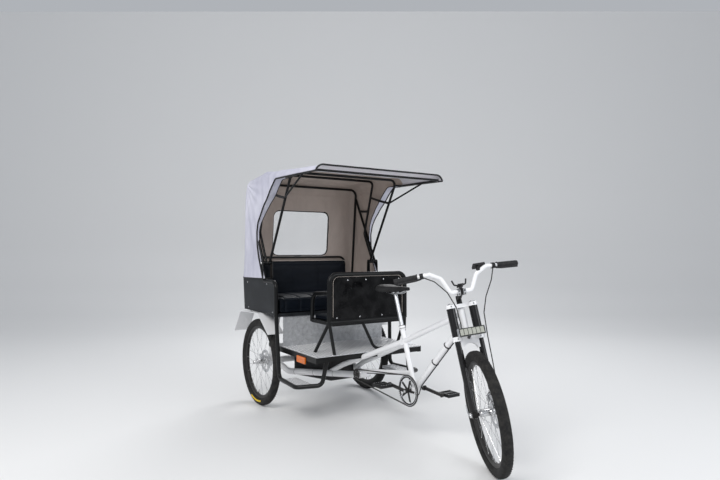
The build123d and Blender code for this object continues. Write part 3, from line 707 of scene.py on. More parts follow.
# %% [markdown]
# ## The hood
# The hood is one piece of canvas. From the hem behind the bench it rises over the rear bow, runs forward over
# the roof and ends in a visor, and its shoulders turn down each side into quarter panels. It could be modelled
# as flat panels joined at corners, but cloth has no such corners. So the sheet is one grid: its rows follow the
# line of the back and roof, and its columns run from the bound edge on one side over the top to the other.

# %% The hood's line
HOOD_LINE = [(-322, 900), (-240, 1812), (130, 1851), (560, 1822), (1100, 1790)]
HOOD_BENDS = [0, 80, 500, 900, 0]
HALF_W = 548
SHOULDER = 64


def rounded_line(points, bends, step=12):
    """Points along a line whose corners have the given radii, about step apart."""
    walk = []
    start = Vector(points[0])
    for k in range(1, len(points)):
        corner = Vector(points[k])
        if k == len(points) - 1 or not bends[k]:
            pieces = [corner]
        else:
            back = (Vector(points[k - 1]) - corner).normalized()
            on = (Vector(points[k + 1]) - corner).normalized()
            half = back.angle(on) / 2
            reach = bends[k] / math.tan(half)
            centre = corner + (back + on).normalized() * (bends[k] / math.sin(half))
            first, last = corner + back * reach, corner + on * reach
            turn = math.pi - 2 * half
            count = max(3, int(turn * bends[k] / step))
            a, b = first - centre, last - centre
            pieces = [centre + (a * math.sin((1 - t) * turn) + b * math.sin(t * turn)) / math.sin(turn)
                      for t in [j / count for j in range(count + 1)]]
        count = max(1, int((pieces[0] - start).length / step))
        walk += [start.lerp(pieces[0], j / count) for j in range(count)]
        walk += pieces[:-1]
        start = pieces[-1]
    return walk + [start]


def inward(line):
    """The unit normals of a line in (x, z), towards the inside of the hood."""
    found = []
    for k in range(len(line)):
        way = line[min(k + 1, len(line) - 1)] - line[max(k - 1, 0)]
        found.append(Vector((way.y, -way.x)).normalized())
    return found


hood_walk = [p for p in rounded_line(HOOD_LINE, HOOD_BENDS) if p.y > 1008 and p.x < 1003]
hood_in = inward(hood_walk)
print("rows in the hood:", len(hood_walk))

# %% [markdown]
# The quarter panels end at a bound edge that sweeps from the side panel's top up to the roof. Each row needs to
# know where its own end lies on that edge, so one table gives the edge against how far the row is along the
# sheet. Past the quarter panel the edge is the short skirt of the visor.

# %% The bound edge, row by row
EDGE = [(150, 1010), (112, 1082), (62, 1180), (34, 1270), (30, 1370), (52, 1450), (104, 1516), (176, 1588),
        (252, 1652), (312, 1712), (372, 1761), (660, 1758), (1005, 1752)]


def walk_length(line):
    total = [0.0]
    for a, b in zip(line, line[1:]):
        total.append(total[-1] + (Vector(b) - Vector(a)).length)
    return total


def along(line, total, distance):
    distance = min(max(distance, 0.0), total[-1])
    k = max(j for j in range(len(total)) if total[j] <= distance + 1e-9)
    if k >= len(line) - 1:
        return Vector(line[-1])
    share = (distance - total[k]) / (total[k + 1] - total[k])
    return Vector(line[k]).lerp(Vector(line[k + 1]), share)


edge_fine = rounded_line(EDGE, [0] + [90] * 8 + [60, 60, 600, 0], step=6)
edge_total = walk_length(edge_fine)
hood_total = walk_length(hood_walk)


def marks(line, total, *tests):
    """How far along a line each test first holds, with the line's two ends."""
    return [0.0] + [next(t for p, t in zip(line, total) if test(p)) for test in tests] + [total[-1]]


HOOD_MARKS = marks(hood_walk, hood_total, lambda p: p.y > 1640, lambda p: p.x > -120, lambda p: p.x > 372)
EDGE_MARKS = marks(edge_fine, edge_total, lambda p: p.y > 1545, lambda p: p.y > 1640, lambda p: p.x > 371)


def edge_of_row(distance):
    for k in range(4):
        if distance <= HOOD_MARKS[k + 1] or k == 3:
            share = (distance - HOOD_MARKS[k]) / (HOOD_MARKS[k + 1] - HOOD_MARKS[k])
            return along(edge_fine, edge_total, EDGE_MARKS[k] + share * (EDGE_MARKS[k + 1] - EDGE_MARKS[k]))


def returned(edge):
    """How far the free edge is turned in towards the cabin, in millimetres."""
    x, z = edge
    if x > 320:
        return max(6.0, 58 - (x - 400) * 0.16) if x > 400 else 58
    return 18 + 40 * min(1.0, max(0.0, (z - 1400) / 250))


print("edge length", round(edge_total[-1]), "mm")

# %% [markdown]
# Now the grid. Each row has the turned-in edge, the quarter panel, the shoulder, the roof and the same again
# mirrored. Then the cloth is given its life: it sags a little between the bows, draws up in folds that fan out
# of the tight rear corner, and hangs in long soft folds down the quarter panels and the back.

# %% The grid of the sheet
SIDE_COLUMNS = 22
SHOULDER_COLUMNS = 7
TOP_COLUMNS = 56


def fold_depth(p, side):
    """How far the cloth stands out of its plain surface at p, in millimetres."""
    apex = Vector((-215, 1775))
    reach = Vector((p.x, p.z)) - apex
    angle = math.atan2(reach.y, reach.x)
    fan = math.sin(angle * 19 + 1.6 * noise.noise(Vector((p.x * 0.004, p.z * 0.004, side))))
    fan *= 5.0 * math.exp(-reach.length / 460) * min(1.0, reach.length / 60)
    hang = noise.noise(Vector((p.x * 0.011, p.y * 0.011, p.z * 0.0022 + side * 3))) * 6.0
    ripple = noise.noise(Vector((p.x * 0.028, p.y * 0.028, p.z * 0.010 + side))) * 1.4
    return fan + hang + ripple - 4.6


def sag(x, z, y):
    """The cloth dips between the bows and lies on them."""
    if z < 1700 and x < -150:
        return 0.0
    bows = (-195, 130, 508, 985)
    for a, b in zip(bows, bows[1:]):
        if a <= x <= b:
            return -7.0 * (b - a) / 585 * math.sin(math.pi * (x - a) / (b - a)) * math.cos(y / HALF_W * 1.45)
    return 0.0


def lowest(x):
    """How far the roof may dip at x, in millimetres, before it meets a bow: each bow as (x, room above it)."""
    bows = ((-195, 12), (130, 2.5), (508, 9), (985, 14))
    return min(room + max(0, abs(x - bow) - 16) * 0.3 for bow, room in bows)


def hood_row(k):
    centre, inner = hood_walk[k], hood_in[k]
    spine = centre + inner * SHOULDER
    edge = edge_of_row(hood_total[k])
    above = max(0.0, edge.y - spine.y) if edge.x > 300 else 0.0
    first_turn = math.asin(min(0.9, above / SHOULDER))
    straight = 0.0 if above else (edge - spine).length
    last_turn = first_turn + max(0.0, 16 - straight) / SHOULDER
    middle = Vector((spine.x, -HALF_W + SHOULDER, spine.y))

    def round_shoulder(turn):
        out = Vector((-inner.x * math.sin(turn), -math.cos(turn), -inner.y * math.sin(turn)))
        return middle + out * SHOULDER, out

    start = round_shoulder(first_turn)[0] if above else Vector((edge.x, -HALF_W, edge.y))
    row = []
    turned = returned(edge)
    for share in (1.0, 0.6, 0.25):
        hem = Vector((edge.x, start.y + 3 + turned * share, start.z - 4 * (1 - share)))
        row.append((hem, Vector((0, -1, 0)), 0.2))
    for j in range(SIDE_COLUMNS):
        reach = (straight + (last_turn - first_turn) * SHOULDER) * j / SIDE_COLUMNS
        if reach < straight:
            flat = edge.lerp(spine, reach / straight)
            p, out = Vector((flat.x, -HALF_W, flat.y)), Vector((0, -1, 0))
        else:
            p, out = round_shoulder(first_turn + (reach - straight) / SHOULDER)
        row.append((p, out, min(1.0, 0.35 + j * 0.2)))
    for j in range(SHOULDER_COLUMNS):
        p, out = round_shoulder(last_turn + (math.pi / 2 - last_turn) * j / SHOULDER_COLUMNS)
        row.append((p, out, 1.0))
    top = HALF_W - SHOULDER
    for j in range(TOP_COLUMNS + 1):
        y = -top + 2 * top * j / TOP_COLUMNS
        row.append((Vector((centre.x, y, centre.y)), Vector((-inner.x, 0, -inner.y)), 1.0))
    count = len(row)
    for j in range(count - TOP_COLUMNS - 2, -1, -1):
        p, out, share = row[j]
        row.append((Vector((p.x, -p.y, p.z)), Vector((out.x, -out.y, out.z)), share))
    return row


hood_points = []
for k in range(len(hood_walk)):
    hem = min(1.0, 0.25 + k * 0.12, 0.25 + (len(hood_walk) - 1 - k) * 0.2)
    for p, out, share in hood_row(k):
        lift = fold_depth(p, 1 if p.y > 0 else 0) * share * hem + sag(p.x, p.z, p.y) * abs(out.z) - 1.0
        if p.x > 380:
            lift = lift * 0.55 - 1.0
        if p.z > 1700:
            lift = max(lift, -lowest(p.x))
        p = p + out * lift
        hood_points.append(spot(p.x, p.y, p.z))
COLUMNS = len(hood_points) // len(hood_walk)
print("hood grid", len(hood_walk), "by", COLUMNS)

# %% [markdown]
# The rear window is a rounded opening. A boolean would leave ragged faces beside it, so the grid is warped
# first: lines near the opening are drawn onto its rounded outline, and the faces inside it are then removed.

# %% The window opening
WINDOW_HALF = 275
WINDOW_LOW, WINDOW_HIGH = 1180, 1578
WINDOW_ROUND = 60
mid_z = (WINDOW_LOW + WINDOW_HIGH) / 2
half_z = (WINDOW_HIGH - WINDOW_LOW) / 2


def window_outline(across, up):
    """The point of the rounded outline that belongs to a point of the plain rectangle."""
    inner_y, inner_z = WINDOW_HALF - WINDOW_ROUND, half_z - WINDOW_ROUND
    if abs(across) > inner_y and abs(up) > inner_z:
        corner = Vector((math.copysign(inner_y, across), math.copysign(inner_z, up)))
        return corner + (Vector((across, up)) - corner).normalized() * WINDOW_ROUND
    return Vector((across, up))


window_rows = [k for k, p in enumerate(hood_walk) if p.y < 1740 and p.x < 0]
nearest = [min(window_rows, key=lambda k: abs(hood_walk[k].y - z)) for z in (WINDOW_LOW, WINDOW_HIGH)]
first_top = 3 + SIDE_COLUMNS + SHOULDER_COLUMNS
column_y = [-(HALF_W - SHOULDER) + 2 * (HALF_W - SHOULDER) * j / TOP_COLUMNS for j in range(TOP_COLUMNS + 1)]
left_column = min(range(TOP_COLUMNS + 1), key=lambda j: abs(column_y[j] + WINDOW_HALF))
right_column = TOP_COLUMNS - left_column


def stretched(value, old, new, reach):
    """Moves value so that each old place lands on its new one, fading out within reach."""
    for a, b in zip(old, new):
        value += (b - a) * max(0.0, 1 - abs(value - a) / reach)
    return value


BACK_LEAN = 82 / 912
removed = set()
for k in window_rows:
    for j in range(TOP_COLUMNS + 1):
        number = k * COLUMNS + first_top + j
        p = hood_points[number]
        y = stretched(column_y[j], (column_y[left_column], column_y[right_column]), (-WINDOW_HALF, WINDOW_HALF), 120)
        z = stretched(hood_walk[k].y, [hood_walk[n].y for n in nearest], (WINDOW_LOW, WINDOW_HIGH), 60) - mid_z
        ring_size = max(abs(y) / WINDOW_HALF, abs(z) / half_z)
        if 0.55 < ring_size < 1.45:
            on_line = window_outline(y / ring_size, z / ring_size) * ring_size
            pull = 1 - min(1.0, abs(ring_size - 1) / 0.42) ** 2
            y, z = Vector((y, z)).lerp(on_line, pull)
        back = (z + mid_z - hood_walk[k].y) * BACK_LEAN
        hood_points[number] = Vector((p.x + back / 1000, y / 1000, (z + mid_z) / 1000))
        if nearest[0] <= k < nearest[1] and left_column <= j < right_column:
            removed.add((k, first_top + j))

hood_faces = []
for k in range(len(hood_walk) - 1):
    for j in range(COLUMNS - 1):
        if (k, j) not in removed:
            a = k * COLUMNS + j
            hood_faces.append((a, a + COLUMNS, a + COLUMNS + 1, a + 1))
print("hood faces", len(hood_faces), "after", len(removed), "were cut for the window")

# %% [markdown]
# A sheet without thickness would show one colour on both sides. Solidify gives it a thin wall, with the lining as
# the finish of its inner face and the binding along its rim.

# %% The sheet itself
hood = new_mesh("hood_cloth", hood_points, hood_faces, "hood_fabric", sharp=80)
hood.data.materials.append(finishes["hood_lining"])
hood.data.materials.append(finishes["binding"])
normal_up = sum(face.normal.z for face in hood.data.polygons)
if normal_up < 0:
    hood.data.flip_normals()
wall = hood.modifiers.new("wall", "SOLIDIFY")
wall.thickness = 0.0016
wall.offset = -1
wall.material_offset = 1
wall.material_offset_rim = 2
hood = settle(hood)
shade(hood, 80)
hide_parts("canopy_rear", "canopy_roof", "canopy_visor")


def folds(obj):
    """Bakes the piece's place into its mesh."""
    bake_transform(obj)
    return obj


folds(hood)

# %% [markdown]
# Black binding is sewn over every free edge of the hood: the turned-in edges of the quarter panels, the seam
# beside them, the front of the visor and the hem behind the bench. The bars of binding follow the very points
# of the sheet, so they stay on it through every fold.

# %% Binding along the edges
last_row = (len(hood_walk) - 1) * COLUMNS


def hood_strip(name, numbers, radius):
    return tube(name, [hood_points[n] for n in numbers], radius, "binding", fine=3)


every = list(range(0, len(hood_walk) - 1, 2)) + [len(hood_walk) - 1]
hood_trims = []
for side_name, seam, free in (("right", 3, 0), ("left", COLUMNS - 4, COLUMNS - 1)):
    for kind, column, radius in (("seam", seam, 0.0062), ("edge", free, 0.0036)):
        numbers = [k * COLUMNS + column for k in every]
        hood_trims.append(folds(hood_strip(f"hood_{kind}_{side_name}", numbers, radius)))
hood_trims.append(folds(hood_strip("hood_visor_edge", range(last_row + 3, last_row + COLUMNS - 3, 2), 0.0066)))
hood_trims.append(hood_strip("hood_hem", range(0, COLUMNS, 2), 0.0034))
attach(hood_trims[-1], "root")
print("bound edges:", len(hood_trims))

# %% [markdown]
# The window is clear film sewn behind the opening, with a band of binding over the join on both faces. The film
# is a grid drawn onto the same rounded outline, and it ripples slightly, as soft film does.

# %% Window film and its band
def back_wall(y, z, out=0.0):
    """A point on the hood's back, out millimetres outside it."""
    return spot(-322 + (z - 900) * BACK_LEAN - out, y, z)


FILM_STEPS = 24
film_points = []
for i in range(FILM_STEPS + 1):
    for j in range(FILM_STEPS + 1):
        a, b = 2 * i / FILM_STEPS - 1, 2 * j / FILM_STEPS - 1
        size = max(abs(a), abs(b), 1e-6)
        p = window_outline(a / size * WINDOW_HALF, b / size * half_z) * size
        wave = 1.6 * noise.noise(Vector((p.x * 0.012, p.y * 0.006, 2.0))) * (1 - size ** 4)
        film_points.append(back_wall(p.x * 1.012, mid_z + p.y * 1.015, -2.2 + wave))
window_film = new_mesh("window_film", film_points, grid_faces(FILM_STEPS + 1, FILM_STEPS + 1), "clear_film")
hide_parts("rear_window")
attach(window_film, "root")
OUTLINE_POINTS = 64
outline = []
for k in range(OUTLINE_POINTS):
    turn = 2 * math.pi * (k + 0.5) / OUTLINE_POINTS
    a, b = math.cos(turn), math.sin(turn)
    size = max(abs(a), abs(b))
    outline.append(window_outline(a / size * WINDOW_HALF, b / size * half_z))
band_line = [back_wall(p.x, mid_z + p.y, -0.8) for p in outline]
window_band = tube("window_band", band_line, 0.0080, "binding", closed=True, fine=3)
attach(window_band, "root")
print("window band of", len(outline), "points")

# %% [markdown]
# Stitching holds the binding. Its line runs a few millimetres beside each side seam and round the window's band.

# %% Stitches on the hood
def beside(numbers, toward, share, lift=0.0006):
    """Points a share of the way from one column of the sheet to a neighbouring one."""
    found = []
    for n in numbers:
        p = hood_points[n]
        found.append(p.lerp(hood_points[n + toward], share) + Vector((0, math.copysign(lift, p.y), 0)))
    return found


THREAD = 0.0006
for side_name, seam, toward in (("right", 3, 1), ("left", COLUMNS - 4, -1)):
    numbers = [k * COLUMNS + seam for k in range(len(hood_walk)) if hood_walk[k].x < 300]
    path = line_carrier("hood_thread_path", beside(numbers, toward, 0.55))
    thread = stitching.make("hood_thread_" + side_name, "binding", path, spacing=0.010, thread=THREAD)
    folds(thread)
band_seam = line_carrier("band_path", [back_wall(p.x * 1.035, mid_z + p.y * 1.05, 1.2) for p in outline], closed=True)
window_thread = stitching.make("window_thread", "binding", band_seam, spacing=0.009, thread=THREAD)
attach(window_thread, "root")


# %% [markdown]
# ## Straps between the bows
# Flat webbing ties each bow to the next. A strap is a thin band with a small sag. The front one joins the middle
# bow to the front bow, which no single joint joins.

# %% Webbing straps
STRAP_WIDTH, STRAP_THICK, STRAP_STEPS = 0.020, 0.0018, 14


def strap(name, start, end, sag_down):
    """A flat strap between two points, its width upright."""
    points = []
    across, upward = STRAP_THICK / 2, STRAP_WIDTH / 2
    for k in range(STRAP_STEPS + 1):
        t = k / STRAP_STEPS
        p = start.lerp(end, t) + Vector((0, 0, -sag_down * 4 * t * (1 - t)))
        points += [p + Vector((0, a * across, b * upward)) for a, b in ((-1, -1), (1, -1), (1, 1), (-1, 1))]
    last = STRAP_STEPS * 4
    faces = grid_faces(STRAP_STEPS + 1, 4, round_columns=True) + [(3, 2, 1, 0), (last, last + 1, last + 2, last + 3)]
    obj = new_mesh(name, points, faces, "webbing")
    outward(obj)
    shade(obj, 40)
    return obj


for side, side_name in SIDES:
    back = strap("strap_rear_" + side_name, spot(-131, side * 517, 1590), spot(48, side * 513, 1578), 0.004)
    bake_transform(back)
    front = strap("strap_front_" + side_name, spot(92, side * 490, 1698), spot(402, side * 487, 1622), 0.005)
    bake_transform(front)
print("straps made")

# %% [markdown]
# ## Seats
# The bench, its back and the jump seat are foam under vinyl. A block with bevelled edges would look like wood.
# Here a slightly smaller block is remeshed and blown up by a cloth simulation with its resting side pinned, so
# that it crowns and pulls in between its corners. The sewn channels are pressed in after that, because the
# remesh would have erased them, and one subdivision makes the result smooth.

# %% Stuffed blocks
CLOTH_FRAMES = 20


def stuffed(name, low, high, corner, voxel, cap, pinned, press):
    """A cushion that fills the box from low to high; pinned(p) says where it rests, press(p, n) presses seams in."""
    work = bmesh.new()
    bmesh.ops.create_cube(work, size=1.0)
    for vertex in work.verts:
        vertex.co = Vector([
            (low[k] + high[k]) / 2 + vertex.co[k] * (high[k] - low[k]) for k in range(3)
        ])
    bmesh.ops.bevel(work, geom=work.edges[:] + work.verts[:], offset=corner, segments=4, profile=0.6, affect="EDGES")
    mesh = bpy.data.meshes.new(name)
    work.to_mesh(mesh)
    work.free()
    obj = added(name, mesh)
    remesh = obj.modifiers.new("remesh", "REMESH")
    remesh.mode = "VOXEL"
    remesh.voxel_size = voxel / 1000
    obj.data.transform(Matrix.Scale(0.001, 4))
    obj = settle(obj)
    rest = [v.co.copy() for v in obj.data.vertices]
    group = obj.vertex_groups.new(name="resting")
    group.add([k for k, p in enumerate(rest) if pinned(p * 1000)], 1.0, "REPLACE")
    cloth = obj.modifiers.new("cloth", "CLOTH")
    cloth.settings.quality = 5
    cloth.settings.mass = 0.3
    cloth.settings.use_pressure = True
    cloth.settings.uniform_pressure_force = 4.0
    cloth.settings.tension_stiffness = 22
    cloth.settings.vertex_group_mass = "resting"
    cloth.settings.effector_weights.gravity = 0
    cloth.collision_settings.use_collision = False
    cloth.point_cache.frame_start = 1
    cloth.point_cache.frame_end = CLOTH_FRAMES
    for step in range(1, CLOTH_FRAMES + 1):
        bpy.context.scene.frame_set(step)
    seen = obj.evaluated_get(bpy.context.evaluated_depsgraph_get())
    moved = [v.co.copy() for v in seen.data.vertices]
    obj.modifiers.remove(cloth)
    bpy.context.scene.frame_set(1)
    limit = cap / 1000
    for vertex, start, end in zip(obj.data.vertices, rest, moved):
        step = end - start
        if step.length > limit:
            step *= limit / step.length
        vertex.co = start + step
    obj.data.update()
    normals = [v.normal.copy() for v in obj.data.vertices]
    for vertex, normal in zip(obj.data.vertices, normals):
        vertex.co -= normal * press(vertex.co * 1000, normal) / 1000
    obj.data.transform(Matrix.Translation((-MIDDLE, 0, 0)))
    smoother = obj.modifiers.new("smoother", "SUBSURF")
    smoother.levels = smoother.render_levels = 1
    obj = settle(obj)
    obj.data.materials.clear()
    obj.data.materials.append(finishes["vinyl"])
    obj.data.shade_smooth()
    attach(obj, "root")
    return obj


def groove(distance, width):
    """One at a seam, falling off to nothing within width millimetres."""
    return math.exp(-(distance / width) ** 2)


def pleat(value, pitch):
    """How far value is from the nearest multiple of pitch."""
    return abs((value / pitch + 0.5) % 1.0 - 0.5) * pitch


print("cushion maker ready")


# %% Bench cushion
CHANNEL = 124.5


def bench_press(p, n):
    top = max(0.0, n.z) * min(1.0, max(0.0, (p.z - 800) / 40))
    front = max(0.0, n.x) * min(1.0, max(0.0, (p.x - 300) / 20))
    across_top = groove(pleat(p.y + CHANNEL / 2, CHANNEL), 7) * 8.5
    pucker = 1.6 * noise.noise(Vector((p.x * 0.03, p.y * 0.045, 1.0))) * groove(p.x - 316, 55)
    roll = groove(p.x - 262, 8) * 4.5
    crown = 5.0 * (1 - min(1.0, (abs(p.y) / 492) ** 4)) * (1 - min(1.0, (abs(p.x - 80) / 250) ** 4))
    return top * (across_top + roll + pucker - crown) + front * (across_top * 0.9 + groove(p.z - 778, 6) * 3)


bench = stuffed("bench_seat", (-170, -490, 754), (329, 490, 866), 26, 8, 9, lambda p: p.z < 762 or p.x < -160,
                bench_press)
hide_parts("bench_cushion")
print("bench faces", len(bench.data.polygons))


# %% Backrest
def back_press(p, n):
    face = max(0.0, n.x)
    seams = groove(pleat(p.y + CHANNEL, CHANNEL * 2), 8) * 3.0 + groove(p.z - 1112, 7) * 3.6
    soft = 1.1 * noise.noise(Vector((p.y * 0.012, p.z * 0.02, 5.0)))
    crown = 4.5 * (1 - min(1.0, (abs(p.y) / 420) ** 4)) * (1 - min(1.0, (abs(p.z - 950) / 190) ** 4))
    return face * (seams + soft - crown)


backrest = stuffed("bench_back", (-238, -419, 757), (-187, 419, 1144), 20, 8, 6, lambda p: p.x < -232, back_press)
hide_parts("bench_backrest")


# %% Jump seat cushion
def jump_press(p, n):
    seams = groove(pleat(p.y, 131), 6) * 4.5
    crown = 3.0 * (1 - min(1.0, (abs(p.y) / 258) ** 4)) * (1 - min(1.0, (abs(p.x - 622) / 160) ** 4))
    return max(0.0, n.z) * (seams * min(1.0, max(0.0, (p.z - 735) / 8)) - crown)


jump_cushion = stuffed("jump_seat_pad", (457, -257, 718), (789, 257, 747), 11, 6, 5, lambda p: p.z < 722,
                       jump_press)
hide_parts("jump_seat_cushion")
print("cushions", [len(c.data.polygons) for c in (bench, backrest, jump_cushion)])


# %% [markdown]
# Welts are the thin rolled seams along a cushion's edge. Each follows a plain line drawn onto the finished
# cushion, so it lies on the foam wherever the simulation left it.

# %% Welts
def on_surface(obj, guide, out=0.0):
    found = []
    for p in guide:
        hit, place, normal, face = obj.closest_point_on_mesh(p)
        found.append(place + normal * out)
    return found


def loop_guide(x, y, z, steps=26):
    """A rectangle of points at height z, from (low, high) pairs in x and y."""
    corners = [(x[0], y[0]), (x[1], y[0]), (x[1], y[1]), (x[0], y[1])]
    found = []
    for k in range(4):
        a, b = corners[k], corners[(k + 1) % 4]
        found += [spot(a[0] + (b[0] - a[0]) * j / steps, a[1] + (b[1] - a[1]) * j / steps, z) for j in range(steps)]
    return found


for name, pad, x, y, z in (("bench_welt", bench, (-168, 331), (-494, 494), 852),
                           ("jump_seat_welt", jump_cushion, (455, 790), (-260, 260), 741)):
    welt = tube(name, on_surface(pad, loop_guide(x, y, z), 0.0008), 0.0034, "vinyl", closed=True, fine=2)
    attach(welt, "root")
back_guide = [spot(-186, -423, 760 + 350 * k / 12) for k in range(12)]
back_guide += [spot(-186, -423 + 41.6 * (1 - math.cos(a)), 1110 + 40 * math.sin(a)) for a in (0.2, 0.6, 1.0, 1.4)]
back_guide += [spot(-186, -375 + 750 * k / 24, 1150) for k in range(25)]
back_guide += [Vector((p.x, -p.y, p.z)) for p in back_guide[15::-1]]
welt = tube("backrest_welt", on_surface(backrest, back_guide, 0.0008), 0.0032, "vinyl", fine=2)
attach(welt, "root")
print("points on the backrest's welt:", len(back_guide))

# %% [markdown]
# ## Saddle
# The driver's saddle is a padded shell, wide at the back and narrow at the nose. A few cross-sections describe
# it well. Subdivision then rounds it over, which gives the soft top that a plain loft lacks.

# %% Saddle
SADDLE_CUTS = [(1284, 12, 18, 2), (1272, 20, 26, 4), (1210, 25, 36, 3), (1150, 40, 42, 2), (1095, 74, 46, 3),
               (1050, 97, 49, 6), (1022, 94, 45, 9), (1010, 74, 34, 10)]
SADDLE_RING = [(1.0, -0.30), (0.96, 0.10), (0.74, 0.42), (0.38, 0.50), (0.0, 0.46)]
SADDLE_TOP = 983
saddle_points = []
for x, half_w, tall, lift in SADDLE_CUTS:
    middle = SADDLE_TOP - tall / 2 + lift
    upper = [(y * half_w, middle + z * tall) for y, z in SADDLE_RING]
    lower = [(0.92 * half_w, middle - 0.50 * tall), (0.30 * half_w, middle - 0.36 * tall)]
    ring = upper + [(-y, z) for y, z in upper[-2::-1]] + [(-y, z) for y, z in lower] + lower[::-1]
    saddle_points += [spot(x, y, z) for y, z in ring]
around = len(ring)
saddle_faces = grid_faces(len(SADDLE_CUTS), around, round_columns=True)
saddle_faces += [tuple(range(around)), tuple(range(len(saddle_points) - around, len(saddle_points)))]
saddle = new_mesh("saddle_shell", saddle_points, saddle_faces, "saddle_black")
outward(saddle)
rounder = saddle.modifiers.new("rounder", "SUBSURF")
rounder.levels = rounder.render_levels = 2
saddle = settle(saddle)
saddle.data.shade_smooth()
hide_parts("saddle")
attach(saddle, "root")
for side, side_name in SIDES:
    rail = tube("saddle_rail_" + side_name, [
        spot(1258, side * 6, 966), spot(1230, side * 14, 950), spot(1180, side * 21, 938), spot(1110, side * 22, 936),
        spot(1060, side * 26, 944), spot(1030, side * 34, 958)], 0.0035, "alloy", fine=4)
    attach(rail, "root")
print("saddle faces", len(saddle.data.polygons))

# %% [markdown]
# ## Wheels
# Each wheel is made once about its own axle and then set in place. The tyre and the rim are turned profiles,
# because a wheel is round and any flat facet would catch the light. The spokes cross twice on each side, which
# takes four families: two sides, each with spokes that lead and spokes that trail.

# %% Turned tyre and rim
TYRE_HALF = [(284, 14), (288.5, 19.5), (296, 26), (306, 29.6), (316, 29.2), (325, 25.6), (332, 19.6), (336.8, 12),
             (338.8, 5)]
RIM_HALF = [(262, 6), (263.2, 8.2), (271.5, 12.4), (275, 13.2), (284.2, 13.4), (285, 12.2), (284.6, 11)]
TREAD_COUNT = 84


def mirrored(half, crown=None):
    """A closed profile from its half on one side."""
    return half + ([crown] if crown else []) + [(r, -y) for r, y in half[::-1]]


tread = Pattern("tread", count=TREAD_COUNT, radius=0.3382, height=0.0022)
tread_rows = []
for row_y, turn, phase, drop in ((0.0, 0.0, 0.0, 0.0), (0.0088, 0.42, 0.5, 0.0008), (-0.0088, -0.42, 0.5, 0.0008),
                                 (0.0168, 0.7, 0.0, 0.0040), (-0.0168, -0.7, 0.0, 0.0040)):
    tilt = math.copysign(0.34, row_y) * (abs(row_y) > 0.01)
    placed = tread.moved(tread.block(tread.height, 0.0062, 0.0150), (0, 0, 0), turn=(turn, 0, 0))
    placed = tread.moved(placed, (0, 0, 0), turn=(0, 0, tilt))
    placed = tread.moved(placed, tread.vector(tread.radius - drop, row_y, 0.0))
    tread_rows.append(tread.spun(placed, tread.count, phase * 2 * math.pi / TREAD_COUNT))
tread.done(tread.together(*tread_rows))
print("tread rows:", len(tread_rows))

# %% Spokes and nipples
SPOKE_COUNT = 28
spokes = Pattern("spokes", hub_half=0.030, flange=0.032, rim_radius=0.2618, wire=0.00115, nipple=0.0022)
spoke_parts = []
for k in range(4):
    side = 1 if k % 2 else -1
    lead = math.radians(52 if k // 2 else -52)
    reach = spokes.flange - 0.004
    at_hub = (reach * math.cos(lead), (spokes.hub_half - 0.002) * side, reach * math.sin(lead))
    at_rim = (spokes.rim_radius, 0.003 * side, 0.0)
    collar = [b + (a - b) * 0.055 for a, b in zip(at_hub, at_rim)]
    for start, radius in ((at_hub, spokes.wire), (collar, spokes.nipple)):
        line = spokes.node("GeometryNodeCurvePrimitiveLine", {}, {
            "Start": spokes.vector(*start), "End": spokes.vector(*at_rim)})
        bar = spokes.bar(line, spokes.circle(7, radius), caps=True)
        spoke_parts.append(spokes.spun(bar, SPOKE_COUNT // 4, -2 * math.pi * k / SPOKE_COUNT))
spokes.done(spokes.together(*spoke_parts))
print("spokes in", len(spoke_parts), "families with their nipples")

# %% Brake disc
HOLES_IN_ROW = 30
disc = Pattern("brake_disc", holes=HOLES_IN_ROW, hole=0.0034, arms=6, side=0.044)
upright = (math.pi / 2, 0, 0)
hole_rows = []
for radius, phase in ((0.070, 0.0), (0.0768, 0.5), (0.0836, 0.0)):
    drill = disc.moved(disc.cylinder(10, disc.hole, 0.008), disc.vector(radius, disc.side, 0.0), turn=upright)
    hole_rows.append(disc.spun(drill, disc.holes, phase * 2 * math.pi / HOLES_IN_ROW))
drilled = disc.node("GeometryNodeMeshBoolean", {"operation": "DIFFERENCE"}, {
    "Mesh 1": disc.carrier, "Mesh 2": disc.node("GeometryNodeRealizeInstances", {}, {0: disc.together(*hole_rows)})})
arm = disc.moved(disc.block(0.050, 0.0021, 0.010), disc.vector(0.042, disc.side, 0.006), turn=(0, 0.32, 0))
disc.done(disc.together(drilled, disc.spun(arm, disc.arms, -math.radians(12))))
print("disc with", len(hole_rows) * HOLES_IN_ROW, "holes")


# %% [markdown]
# A hub is a shell with two spoke flanges and a carrier for the disc. The front wheel differs from the rear ones
# only in the sizes of the shell and the place of the disc, so one function makes them all.

